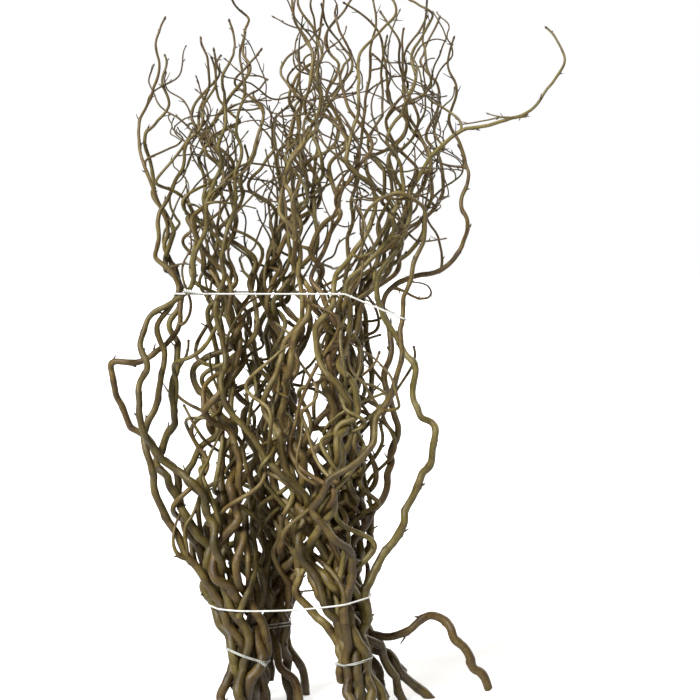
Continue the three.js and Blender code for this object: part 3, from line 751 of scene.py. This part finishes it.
# A stem's cut end: its rings in shares of its radius, the last one on the bark, its bevel, how far it
# slants off square, and how far up the stem it pulls the rings along
CUT_RINGS = [0.28, 0.66, 0.93, 0.985]
CUT_BEVEL = 0.3
CUT_SLANT = 0.3
CUT_PULL = 15.0


@dataclass
class Path:
    """A line of points with its run, and at each point its heading and two unit vectors square to that."""

    points: np.ndarray
    run: np.ndarray
    heading: np.ndarray
    across: np.ndarray
    up: np.ndarray

    def round_way(self, sides):
        """The ways from each point to the sides of a ring round it."""
        return ring_ways(sides, self.across, self.up)


def turns(sides):
    """The angles of the sides of a ring."""
    return 2 * math.pi * np.arange(sides) / sides


def ring_ways(sides, across, up):
    """Unit vectors to the sides of rings: cosine times across plus sine times up."""
    turn = turns(sides)[:, None]
    return np.cos(turn) * across[:, None] + np.sin(turn) * up[:, None]


def path_through(points):
    """The path along some points."""
    return Path(points, run_along(points), *frames_along(points))


@dataclass
class Scars:
    """The leaf scars along a shoot: how far along each is, the angle it faces, and its size."""

    far: np.ndarray
    facing: np.ndarray
    size: np.ndarray


def many(draw, count):
    """Several draws as an array."""
    return np.array([next(draw) for _ in range(count)])


def scars_along(length, draw):
    """Leaf scars NODE_GAP apart or a little less, each on the other side from the last, give or take."""
    count = max(int(length / NODE_GAP), 1)
    far = (np.arange(count) + 0.25 + 0.5 * many(draw, count)) * length / count
    facing = math.pi * np.arange(count) + 1.6 * many(draw, count) + 6 * next(draw)
    return Scars(far, facing, 0.6 + 0.8 * many(draw, count))


def bark_relief(run, turn, scars, draw):
    """How much fuller than its taper a shoot is at each place, and how dark: slow lumps as sines of the run
    and the turn, and at each leaf scar a swelling all round and a cushion on its own side, both bell
    curves.
    """
    phase = 7 * many(draw, 4)
    s, angle = run[:, None], turn[None]
    lumps = sum(
        share * np.sin(s / length + times * angle + begin)
        for (share, length, times), begin in zip(LUMPS, phase)
    )
    step = s[..., None] - scars.far
    side = 0.5 + 0.5 * np.cos(angle[..., None] - scars.facing)
    swelling = SWELLING * np.exp(-((step / SWELLING_LENGTH) ** 2))
    swelling = swelling + CUSHION * np.exp(-(((step + CUSHION_BELOW) / CUSHION_LENGTH) ** 2)) * side**3
    dark = SHADE * np.exp(-((step / SHADE_LENGTH) ** 2)) * side**2
    return 1 + lumps + (swelling * scars.size).sum(-1), np.clip(dark.sum(-1), 0, 1)


def shoot_skins(shoot, parent_radius, tone, draw):
    """The skin of a shoot, and of its buds and spurs.

    Its rings have the radius of its taper times the bark's relief, and flare where it leaves its parent.
    """
    path = path_through(curve_through(shoot.points, SKIN_STEPS))
    taper = shoot.radii(len(path.points))
    sides = SIDES[shoot.kind]
    scars = scars_along(path.run[-1], draw)
    relief, dark = bark_relief(path.run, turns(sides), scars, draw)
    flare = 1
    if parent_radius:
        flare = 1 + FLARE * np.exp(-np.maximum(path.run - parent_radius, 0) / (FLARE_LENGTH * shoot.butt))
    radius = (taper * flare)[:, None] * relief
    start = PATTERN_RUN * next(draw)
    if shoot.kind == "stem":
        skin = skin_with_cut_end(path, radius, dark, tone, start, draw)
    else:
        rings = path.points[:, None] + radius[..., None] * path.round_way(sides)
        skin = tube_skin(rings, radius, path.run, dark, np.zeros_like(dark), tone, start)
    return [skin, nubs_on(shoot, path, taper, scars, tone, start, draw)]


def tube_skin(rings, radius, run, dark, cut, tone, start):
    """One closed tube of rings, with its poles in the middle of its ends.

    A vertex's place on the straightened shoot is radius * cosine, radius * sine and run.
    """
    turn = turns(rings.shape[1])
    poles = rings[[0, -1]].mean(axis=1)
    vertices, walls, caps = closed_tubes(rings[None], poles[None])
    far = np.broadcast_to(run[:, None], radius.shape)
    place = np.stack([radius * np.cos(turn), radius * np.sin(turn), far], -1).reshape(-1, 3)
    place = np.concatenate([place, [[0, 0, run[0]], [0, 0, run[-1]]]]) + (0, 0, start)
    look = np.stack([np.full(cut.shape, tone), dark, cut], -1)
    look = np.concatenate([look.reshape(-1, 3), look[[0, -1], 0]])
    return Skin(vertices, walls, caps, place, look)


def skin_with_cut_end(path, radius, dark, tone, start, draw):
    """A stem's skin, closed at the foot by a sawn face: four rings replace the first, three of them on the
    face.

    Every ring near the foot is slid along the stem, by its vertices' offset along the face's normal, so
    that the face is level on the floor or slanted.
    """
    level = path.points[0][2] < 1e-6
    normal = np.array([0, 0, 1.0]) if level else unit(path.heading[0] + CUT_SLANT * random_way(draw))
    share = np.array(CUT_RINGS)[:, None]
    offset = radius[..., None] * path.round_way(radius.shape[1])
    offset = np.concatenate([share[..., None] * offset[0], offset[1:]])
    points = np.concatenate([path.points[[0, 0, 0, 0]], path.points[1:]])
    run = np.concatenate([[0, 0, 0, CUT_BEVEL], path.run[1:]])
    points[3] += CUT_BEVEL * path.heading[0]
    radius = np.concatenate([share * radius[0], radius[1:]])
    dark = np.concatenate([0 * share * dark[0], dark[1:]])
    cut = np.zeros_like(dark)
    cut[:3] = 1
    slide = -(offset @ normal) / (path.heading[0] @ normal) * np.clip(1 - run / CUT_PULL, 0, 1)[:, None]
    rings = points[:, None] + offset + slide[..., None] * path.heading[0]
    return tube_skin(rings, radius, run, dark, cut, tone, start)


# Buds and spurs: how many scars have one, on thin shoots and on thick ones, and how many are spurs.
# Each row is the least length, how much longer it may be, how thick it is, and how blunt.
NUB_RADII, NUB_SHARES = [2.0, 5.0], [0.85, 0.35]
SPUR_SHARE = 0.3
SPUR = (6, 6, 1.15, 0.75)
BUD = (3, 2, 1.3, 0.0)
NUB_LEAN = (0.45, 0.9)  # how far forward it leans
NUB_OUT, NUB_BACK = 0.75, 0.6  # where it starts: out in shares of the radius, and back along the shoot
NUB_BEND = 0.28  # how far it bends on, in shares of its length


def nubs_on(shoot, path, taper, scars, tone, start, draw):
    """Buds and spurs at a shoot's leaf scars, and a bud at its tip.

    The thinner the shoot is there, the more of its scars have one. Each leaves the bark a little forward of
    square and bends on towards the tip.
    """
    k = np.clip(np.searchsorted(path.run, scars.far), 1, len(path.run) - 1)
    count = len(k)
    kept = many(draw, count) < np.interp(taper[k], NUB_RADII, NUB_SHARES)
    spur = many(draw, count) < SPUR_SHARE
    least, more, breadth, blunt = (np.where(spur, *values) for values in zip(SPUR, BUD))
    far_forward, grown = many(draw, count), many(draw, count)
    out = np.cos(scars.facing)[:, None] * path.across[k] + np.sin(scars.facing)[:, None] * path.up[k]
    way = unit(out + (NUB_LEAN[0] + NUB_LEAN[1] * far_forward)[:, None] * path.heading[k])
    length = (least + more * grown) * (0.7 + 0.4 * scars.size)
    thick = breadth * np.clip(taper[k] / 3, 0.55, 1.15)
    base = path.points[k] + (NUB_OUT * taper[k])[:, None] * out - NUB_BACK * path.heading[k]
    bend = (NUB_BEND * length)[:, None] * path.heading[k]
    tip = path.points[-1:] - 0.8 * path.heading[-1:]
    return nubs(
        np.concatenate([base[kept], tip]),
        np.concatenate([way[kept], path.heading[-1:]]),
        np.concatenate([bend[kept], 0.6 * path.across[-1:]]),
        np.append(length[kept] + 0.25 * taper[k][kept], 3.6 + 2 * next(draw)),
        np.append(thick[kept], 1.15 * shoot.tip),
        np.append(blunt[kept], 0.15),
        tone, start,
    )


NUB_SIDES = 6
NUB_RINGS = np.array([0.0, 0.3, 0.6, 0.84, 0.97])


def nubs(base, way, bend, length, thick, blunt, tone, start):
    """Small pegs, all at once.

    The line of a peg is base + way * length * u + bend * u squared. Its radius is thick times a curve that
    closes at u = 1, or for a blunt peg stays nearly even.
    """
    u, turn = NUB_RINGS, turns(NUB_SIDES)
    across = unit(np.cross(way, np.eye(3)[np.argmin(np.abs(way), axis=1)]))
    up = np.cross(way, across)
    line = base[:, None] + way[:, None] * (length[:, None] * u)[..., None]
    line = line + bend[:, None] * (u**2)[None, :, None]
    pointed = (1 - u) ** 0.55 * (1 + 0.55 * np.sin(math.pi * u))
    even = 1.05 - 0.4 * u - 0.35 * (u > 0.9)
    radius = thick[:, None] * (pointed * (1 - blunt[:, None]) + even * blunt[:, None])
    rings = line[:, :, None] + radius[..., None, None] * ring_ways(NUB_SIDES, across, up)[:, None]
    poles = np.stack([base, base + way * length[:, None] + bend], axis=1)
    vertices, walls, caps = closed_tubes(rings, poles)
    angle, reach = np.tile(turn, len(u)), np.repeat(u, NUB_SIDES)
    place = np.stack([np.cos(angle), np.sin(angle), 5 * reach], -1)
    place = np.concatenate([place, [[0, 0, 0], [0, 0, 5]]])
    dark = np.concatenate([0.55 + 0.45 * reach, [0.55, 1.0]])
    look = np.stack([np.full_like(dark, tone), dark, np.zeros_like(dark)], -1)
    repeats = (len(base), 1)
    return Skin(vertices, walls, caps, np.tile(place, repeats) + (0, 0, start), np.tile(look, repeats))


def branch_skins(branch, i):
    """The skins of every shoot of a branch, with a bark tone of its own."""
    draw = draws_for("skin", i)
    tone = next(draw)
    skins = []
    for shoot in branch.shoots:
        parent_radius = branch.shoots[shoot.parent].radii()[shoot.at] if shoot.parent >= 0 else 0
        skins += shoot_skins(shoot, parent_radius, tone, draw)
    return skins


def make_piece(name, skins, material, node):
    """Puts skins into one mesh, in metres and centred as the model is, and lets it stand for a node of the
    model.
    """
    shift = np.cumsum([0] + [len(skin.vertices) for skin in skins[:-1]])
    vertices = (np.concatenate([skin.vertices for skin in skins]) - (*MIDDLE, 0)) * MM
    faces = []
    for skin, n in zip(skins, shift):
        faces += (skin.walls + n).tolist() + (skin.caps + n).tolist()
    mesh = bpy.data.meshes.new(name)
    mesh.from_pydata(vertices, [], faces)
    mesh.polygons.foreach_set("use_smooth", np.ones(len(faces), bool))
    for attribute in ("place", "look"):
        rows = np.concatenate([getattr(skin, attribute) for skin in skins])
        made = mesh.attributes.new(attribute, "FLOAT_VECTOR", "POINT")
        made.data.foreach_set("vector", rows.astype(np.float32).ravel())
    mesh.materials.append(material)
    mesh.update()
    piece = new_object(name, mesh)
    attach(piece, "root")
    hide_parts(node)
    return piece


# The ties
STRAND = 1.3  # radius of the wire of the long ties
THIN_STRAND = 0.85  # and of the small ones, which go round twice
WIRE_SIDES = 10
WIRE_STEP = 2.0
LOOP_WAYS = 1440  # the directions in which a tie's farthest bark is found
BARK_MARGIN = 0.6  # what is this close above or below a wire counts as at its height
BARK_GAP = 0.15  # between the bark and the wire
TWIST_LEAD = 12.0  # how far along the loop its ends rise off it
TWIST_RISE = 2.1  # how far off it they are then, in shares of the wire's radius
TWIST_STEP = 0.7
TWIST_PITCH = 7.0
TWIST_CLOSE, TWIST_OPEN = 3, 4  # over how much of it the ends close in at first, and part again at last
TWIST_PARTED = 0.7  # and how much farther apart they are then
WIRE_WAVES = [(0.03, 9, 1), (0.02, 3.1, 2)]  # the unevenness of a wire: share of its radius, length, phase


def waist_level(x):
    """The height of the waist tie: it sags to its lowest at x = -75 and is 16 higher at 165 from there."""
    return 143 + 16 * ((x + 75) / 165) ** 2


def crown_level(x):
    """The height of the tie under the crown, which runs down at 0.42 to the right of x = 60."""
    return 566 - 0.42 * np.maximum(x - 60, 0)


def sheaf_level(sheaf):
    """The height of a sheaf's own tie, tilted to the right."""
    x0, _, z, _, tilt = SHEAVES[sheaf]["ring"]
    return lambda x: z + tilt * (x - x0)


def tight_loop(bark, level, lift, radius):
    """The line of a wire pulled tight round some bark: for every direction the farthest bark at the wire's
    height, and the wire's radius beyond it.

    Its places are spread evenly, and its corners eased.
    """
    near = bark[np.abs(bark[:, 2] - level(bark[:, 0]) - lift) < radius + BARK_MARGIN][:, :2]
    angle = turns(LOOP_WAYS)
    normal = np.stack([np.cos(angle), np.sin(angle)], axis=1)
    loop = near[np.argmax(near @ normal.T, axis=0)] + (radius + BARK_GAP) * normal
    loop = np.concatenate([loop, loop[:1]])
    run = run_along(loop)
    count = int(run[-1] / WIRE_STEP)
    even = run[-1] * np.arange(count) / count
    plan = np.stack([np.interp(even, run, column) for column in loop.T], axis=1)
    for _ in range(2):
        plan = 0.25 * np.roll(plan, 1, axis=0) + 0.5 * plan + 0.25 * np.roll(plan, -1, axis=0)
    return np.column_stack([plan, level(plan[:, 0]) + lift])


def loop_sides(line):
    """The heading along a level loop, and the way out of it: the heading turned a quarter to the right."""
    heading = unit(np.roll(line, -1, axis=0) - np.roll(line, 1, axis=0))
    return heading, unit(np.cross(heading, [0, 0, 1.0]))


def wire_ring(line, radius, phase):
    """The skin of a wire that closes on itself: rings square to the line, whose radius varies a little, as
    its coating does.
    """
    heading, out = loop_sides(line)
    turn = turns(WIRE_SIDES)
    run = WIRE_STEP * np.arange(len(line))
    waves = (share * np.sin(run / length + times * phase) for share, length, times in WIRE_WAVES)
    size = radius * sum(waves, 1)
    rings = line[:, None] + size[:, None, None] * ring_ways(WIRE_SIDES, out, np.cross(heading, out))
    row, side = np.meshgrid(np.arange(len(line)), np.arange(WIRE_SIDES), indexing="ij")
    corners = [(row, side), (row, side + 1), (row + 1, side + 1), (row + 1, side)]
    walls = np.stack([r % len(line) * WIRE_SIDES + s % WIRE_SIDES for r, s in corners], -1).reshape(-1, 4)
    place = np.stack(np.broadcast_arrays(radius * np.cos(turn), radius * np.sin(turn), run[:, None]), -1)
    vertices = rings.reshape(-1, 3)
    return Skin(vertices, walls, np.zeros((0, 3), int), place.reshape(-1, 3), np.zeros_like(vertices))


def wire_end(line, radius):
    """The skin of an open piece of wire with rounded ends: within a radius of an end, the wire's own closes
    like a circle.
    """
    path = path_through(line)
    inset = np.clip(np.minimum(path.run, path.run[-1] - path.run) / radius, 0, 1)
    size = radius * np.sqrt(np.clip(1 - (1 - inset) ** 2, 0.02, 1))
    size = np.broadcast_to(size[:, None], (len(line), WIRE_SIDES))
    rings = line[:, None] + size[..., None] * path.round_way(WIRE_SIDES)
    nothing = np.zeros_like(size)
    return tube_skin(rings, size, path.run, nothing, nothing, 0.0, 0.0)


def twist(line, k, radius, aim, length):
    """The two ends of a tie wound round each other.

    Each comes along the loop from its own side, rising off it, and then circles the twist's line half a
    turn from the other. aim is the twist's way along the loop, outward and up.
    """
    heading, out = (vectors[k] for vectors in loop_sides(line))
    way = unit(aim[0] * heading + aim[1] * out + np.array([0, 0, aim[2]]))
    first = unit(np.cross(way, out))
    second = np.cross(way, first)
    knot = line[k] + TWIST_RISE * radius * out
    share = np.linspace(0, 1, 7)[:-1, None]
    s = np.arange(0, length, TWIST_STEP)
    skins = []
    for side, phase in ((1, 0.0), (-1, math.pi)):
        lead = line[k] + side * TWIST_LEAD * (1 - share) * heading + TWIST_RISE * radius * share**1.5 * out
        angle = 2 * math.pi * s / TWIST_PITCH + phase
        wind = np.cos(angle)[:, None] * first + np.sin(angle)[:, None] * second
        parting = np.clip((s - length + TWIST_OPEN) / TWIST_OPEN, 0, 1)
        spread = np.clip(s / TWIST_CLOSE, 0, 1) * (1 + TWIST_PARTED * parting)
        wound = knot + (s[:, None] + 1.5) * way + (1.02 * radius * spread)[:, None] * wind
        skins.append(wire_end(curve_through(np.concatenate([lead, wound]), 2), radius))
    return skins


def make_tie(name, bark, level, radius, lifts, knot, aim, length, material):
    """A tie of strands of wire round some bark, each at its lift above the level.

    Its ends are twisted together where it passes nearest to the knot's place on the plan.
    """
    lines = [tight_loop(bark, level, lift, radius) for lift in lifts]
    k = int(np.argmin(np.linalg.norm(lines[-1][:, :2] - knot, axis=1)))
    parts = [wire_ring(line, radius, 1.7 * n) for n, line in enumerate(lines)]
    parts += twist(lines[-1], k, radius, aim, length)
    return make_piece(f"wire_{name}", parts, material, f"tie_{name}")


# Materials
def linear(code):
    """An sRGB hex colour as the linear colour that a shader takes."""
    parts = [int(code[i:i + 2], 16) / 255 for i in (1, 3, 5)]
    return tuple(c / 12.92 if c <= 0.04045 else ((c + 0.055) / 1.055) ** 2.4 for c in parts) + (1.0,)


def add(tree, kind, inputs=None, **settings):
    """Adds a node of a kind with its settings.

    An input is a value, or another node's output that is linked to it.
    """
    made = tree.nodes.new(kind)
    for key, value in settings.items():
        setattr(made, key, value)
    for key, value in (inputs or {}).items():
        if isinstance(value, bpy.types.NodeSocket):
            tree.links.new(value, made.inputs[key])
        else:
            made.inputs[key].default_value = value
    return made


def new_material(name):
    """An empty node material and its tree."""
    material = bpy.data.materials.new(name)
    material.use_nodes = True
    material.node_tree.nodes.clear()
    return material, material.node_tree


def graded(tree, value, *stops):
    """A value as a colour or a grey, by straight steps between stops of place and sRGB colour."""
    ramp = add(tree, "ShaderNodeValToRGB", {"Fac": value})
    elements = ramp.color_ramp.elements
    elements.remove(elements[1])
    elements[0].position, elements[0].color = stops[0][0], linear(stops[0][1])
    for position, code in stops[1:]:
        elements.new(position).color = linear(code)
    return ramp.outputs["Color"]


def layered(tree, below, above, share, blend="MIX"):
    """One colour over another."""
    mix = add(tree, "ShaderNodeMix", {0: share, 6: below, 7: above}, data_type="RGBA", blend_type=blend)
    return mix.outputs[2]


def vector_of(tree, name):
    """What each vertex has under a name."""
    return add(tree, "ShaderNodeAttribute", attribute_name=name).outputs["Vector"]


def cover(tree, inputs):
    """Makes a shader with these inputs the material's surface."""
    shader = add(tree, "ShaderNodeBsdfPrincipled", inputs)
    add(tree, "ShaderNodeOutputMaterial", {"Surface": shader.outputs[0]})


def hazel_bark():
    """Dried bark of contorted hazel: satin olive brown in patches of 2 to 4 cm, with fine streaks along the
    shoot, cross wrinkles 1 to 2 mm apart, pale lenticels 1 to 2 mm long across it, and darker buds and leaf
    scars.

    Sawn ends show tan wood with a brown pith.
    """
    material, tree = new_material("dried_hazel_bark")
    place = vector_of(tree, "place")
    tone, dark, cut = list(add(tree, "ShaderNodeSeparateXYZ", {0: vector_of(tree, "look")}).outputs)

    def figured(operation, one, other=0.0):
        """Two numbers joined by an operation."""
        return add(tree, "ShaderNodeMath", {0: one, 1: other}, operation=operation).outputs[0]

    def times(one, other):
        """Their product."""
        return figured("MULTIPLY", one, other)

    def plus(one, other):
        """Their sum."""
        return figured("ADD", one, other)

    def stretched(x, y, z):
        """The place with its parts multiplied: 1 in all keeps millimetres."""
        return add(tree, "ShaderNodeVectorMath", {0: place, 1: (x, y, z)}, operation="MULTIPLY").outputs[0]

    def noise(vector, size, detail, rough=0.6):
        """Noise whose coarsest patches are about as large as size, in millimetres."""
        settings = {"Vector": vector, "Scale": 1 / size, "Detail": detail, "Roughness": rough}
        return add(tree, "ShaderNodeTexNoise", settings).outputs["Fac"]

    # Its colour: in patches, browner or greener by the branch's tone, darker the thicker the wood and paler
    # the thinner
    flat = stretched(1.0, 1.0, 0.0)
    across = add(tree, "ShaderNodeVectorMath", {0: flat}, operation="LENGTH").outputs["Value"]
    paler_when_thinner = plus(times(across, -0.05), 0.255)
    patches = plus(plus(noise(place, 34.0, 4.0), times(tone, 0.2)), paler_when_thinner)
    stops = (0.42, 0.56, 0.70, 0.90)
    brown = graded(tree, patches, *zip(stops, ("#4f3817", "#695025", "#806a39", "#988856")))
    olive = graded(tree, patches, *zip(stops, ("#473e17", "#635925", "#7a7138", "#938b53")))
    green = figured("FRACT", times(tone, 9.0))
    green = plus(plus(times(green, 0.8), times(noise(place, 60.0, 2.0), 0.5)), -0.25)
    colour = layered(tree, brown, olive, add(tree, "ShaderNodeClamp", {0: green}).outputs[0])
    thin = graded(tree, times(across, 0.2), (0.24, "#ffffff"), (0.44, "#000000"))

    # Streaks, stains, wrinkles and lenticels
    streaks = noise(stretched(1.0, 1.0, 0.09), 1.1, 5.0, 0.65)
    dull = graded(tree, streaks, (0.32, "#8f8370"), (0.66, "#ffffff"))
    mottle = noise(stretched(1.0, 1.0, 0.6), 9.0, 6.0, 0.7)
    stained = graded(tree, mottle, (0.52, "#000000"), (0.68, "#9a9a9a"))
    wrinkles = noise(stretched(0.35, 0.35, 1.0), 1.6, 3.0, 0.55)
    creases = graded(tree, wrinkles, (0.3, "#8d8272"), (0.46, "#ffffff"))
    cells = add(tree, "ShaderNodeTexVoronoi", {
        "Vector": stretched(0.62, 0.62, 1.0), "Scale": 1 / 4.6, "Randomness": 1.0,
    })
    lenticels = graded(tree, cells.outputs["Distance"], (0.06, "#ffffff"), (0.14, "#000000"))

    # Sawn wood: growth rings round a pith
    grain = noise(place, 1.3, 4.0)
    rings = figured("SINE", plus(times(across, 3.6), times(grain, 2.4)))
    late_wood = plus(times(rings, 0.3), 0.35)
    wood = layered(tree, linear("#b59a6e"), linear("#8f7449"), late_wood)
    pith = graded(tree, across, (0.0, "#ffffff"), (0.9, "#ffffff"), (1.3, "#000000"))
    wood = layered(tree, wood, linear("#6a4e2e"), pith)

    # What lies over its own colour, from the lowest layer up
    layers = [
        (linear("#4d3820"), times(thin, 0.7), "MIX"),
        (dull, 0.8, "MULTIPLY"),
        (linear("#4c3a23"), stained, "MIX"),
        (creases, 0.55, "MULTIPLY"),
        (linear("#a3936c"), times(lenticels, 0.3), "MIX"),
        (linear("#35261a"), times(dark, 0.85), "MIX"),
        (wood, cut, "MIX"),
    ]
    for above, share, blend in layers:
        colour = layered(tree, colour, above, share, blend)

    # Its relief and its shine
    relief = plus(times(streaks, 0.5), times(wrinkles, 0.7))
    relief = plus(plus(relief, times(lenticels, 0.5)), times(mottle, 0.9))
    bump = add(tree, "ShaderNodeBump", {"Height": relief, "Strength": 0.75, "Distance": 0.0007})
    rough = plus(plus(times(mottle, 0.3), 0.34), times(cut, 0.2))
    cover(tree, {
        "Base Color": colour, "Roughness": rough, "Normal": bump.outputs["Normal"], "IOR": 1.45,
    })
    return material


def coated_wire(name, darker_tone, lighter_tone):
    """Tying wire in a white plastic coating, extruded: satin and slightly uneven, with a grey grime.

    The small ties are greyer all over: painted shade, for the shade of the bunch that they sit in.
    """
    material, tree = new_material(name)
    place = vector_of(tree, "place")
    settings = {"Vector": place, "Scale": 1 / 6.0, "Detail": 4.0}
    grime = add(tree, "ShaderNodeTexNoise", settings).outputs["Fac"]
    colour = graded(tree, grime, (0.35, darker_tone), (0.6, lighter_tone))
    bump = add(tree, "ShaderNodeBump", {"Height": grime, "Strength": 0.4, "Distance": 0.0003})
    cover(tree, {
        "Base Color": colour, "Roughness": 0.42, "Normal": bump.outputs["Normal"], "IOR": 1.5,
    })
    return material


FLOOR_HALF = 40  # metres


def studio_floor():
    """A wide matt white floor, which glows a little and sends no light back up, so that the shadows on it
    stay pale and those in the bunch stay deep.
    """
    material, tree = new_material("matt_white_floor")
    cover(tree, {
        "Base Color": linear("#e8e8e7"), "Roughness": 0.9,
        "Emission Color": (1, 1, 1, 1), "Emission Strength": 0.5,
    })
    mesh = bpy.data.meshes.new("floor")
    corners = [(x * FLOOR_HALF, y * FLOOR_HALF, 0) for x, y in ((-1, -1), (1, -1), (1, 1), (-1, 1))]
    mesh.from_pydata(corners, [], [range(4)])
    mesh.materials.append(material)
    floor = new_object("floor", mesh)
    floor.visible_diffuse = False


def add_lamp(name, strength, breadth, way):
    """A lamp far off that shines in a direction.

    Its breadth, in degrees, is how broad it looks, and how soft its shadows are.
    """
    light = bpy.data.lights.new(name, "SUN")
    light.energy = strength
    light.angle = math.radians(breadth)
    lamp = new_object(name, light)
    lamp.rotation_euler = Vector(way).to_track_quat("-Z", "Y").to_euler()


def light_studio():
    """Soft light: a broad lamp high at the front left, a broader and weaker one at the back right, and a
    dim room that shows as plain white.
    """
    add_lamp("key", strength=5.3, breadth=22, way=(0.58, 0.75, -0.72))
    add_lamp("fill", strength=2.2, breadth=50, way=(-0.6, -0.62, -0.5))
    room = bpy.data.worlds.new("room")
    bpy.context.scene.world = room
    room.use_nodes = True
    tree = room.node_tree
    tree.nodes.clear()
    seen = add(tree, "ShaderNodeLightPath").outputs["Is Camera Ray"]
    shown = add(tree, "ShaderNodeBackground", {"Color": (1, 1, 1, 1), "Strength": 1.0}).outputs[0]
    cast = add(tree, "ShaderNodeBackground", {"Color": (1, 0.87, 0.7, 1), "Strength": 0.22}).outputs[0]
    mix = add(tree, "ShaderNodeMixShader", {0: seen, 1: cast, 2: shown})
    add(tree, "ShaderNodeOutputWorld", {"Surface": mix.outputs[0]})
    bpy.context.scene.view_settings.view_transform = "Standard"


branches = grow_branches()
settle(branches, rounds=260, free_rounds=90, clearance=0.4, near=14, among_shoots=False)
branches = [finer(branch) for branch in branches]
for i, branch in enumerate(branches):
    for n, levels in enumerate(SIDE_LEVELS):
        side_shoot(branch, levels, draws_for("sides", i, n))
    fine_twigs(branch, i)
settle(branches, rounds=80, free_rounds=20, clearance=0.3, near=7, among_shoots=True)
for branch in branches:
    smooth_sides(branch)
settle(branches, rounds=60, free_rounds=15, clearance=0.3, near=7, among_shoots=True)

bark = hazel_bark()
white_wire = coated_wire("white_plastic_coated_wire", "#d0d1cc", "#eceeec")
# The small ties' wire: the white coating painted greyer all over, painted shade
shade_grey_wire = coated_wire("weathered_plastic_coated_wire", "#8f918a", "#bfc1ba")
skins = [branch_skins(branch, i) for i, branch in enumerate(branches)]
for branch, skin in zip(branches, skins):
    make_piece(f"hazel_{branch.name}", skin, bark, f"branch_{branch.name}")

# The small ties, in the order of the sheaves: the lifts of their two strands, the place of the knot,
# the twist's way and its length
SMALL_TIES = [
    ((-0.9, 0.9), (-58, -66), (1.0, 0.12, -0.3), 15),
    ((-2.4, 2.4), (-30, 72), (0.5, 0.7, -0.5), 12),
    ((-0.9, 0.9), (56, -64), (-0.9, 0.3, 0.35), 11),
    ((-1.6, 1.6), (96, 46), (0.5, 0.6, -0.4), 12),
]
for s, (lifts, knot, aim, length) in enumerate(SMALL_TIES):
    held = [part.vertices for branch, skin in zip(branches, skins) if branch.sheaf == s for part in skin]
    held = np.concatenate(held)
    x, y, _, size, _ = SHEAVES[s]["ring"]
    held = held[np.hypot(held[:, 0] - x, held[:, 1] - y) < size + RING_MARGIN]
    make_tie(SHEAVES[s]["name"], held, sheaf_level(s), THIN_STRAND, lifts, knot, aim, length, shade_grey_wire)
everything = np.concatenate([part.vertices for skin in skins for part in skin])
make_tie("waist", everything, waist_level, STRAND, (0.0,), (0, 80), (0.7, 0.4, -0.5), 24, white_wire)
make_tie("crown", everything, crown_level, STRAND, (0.0,), (-126, -110), (-1.0, 0.04, 0.16), 26, white_wire)

studio_floor()
light_studio()
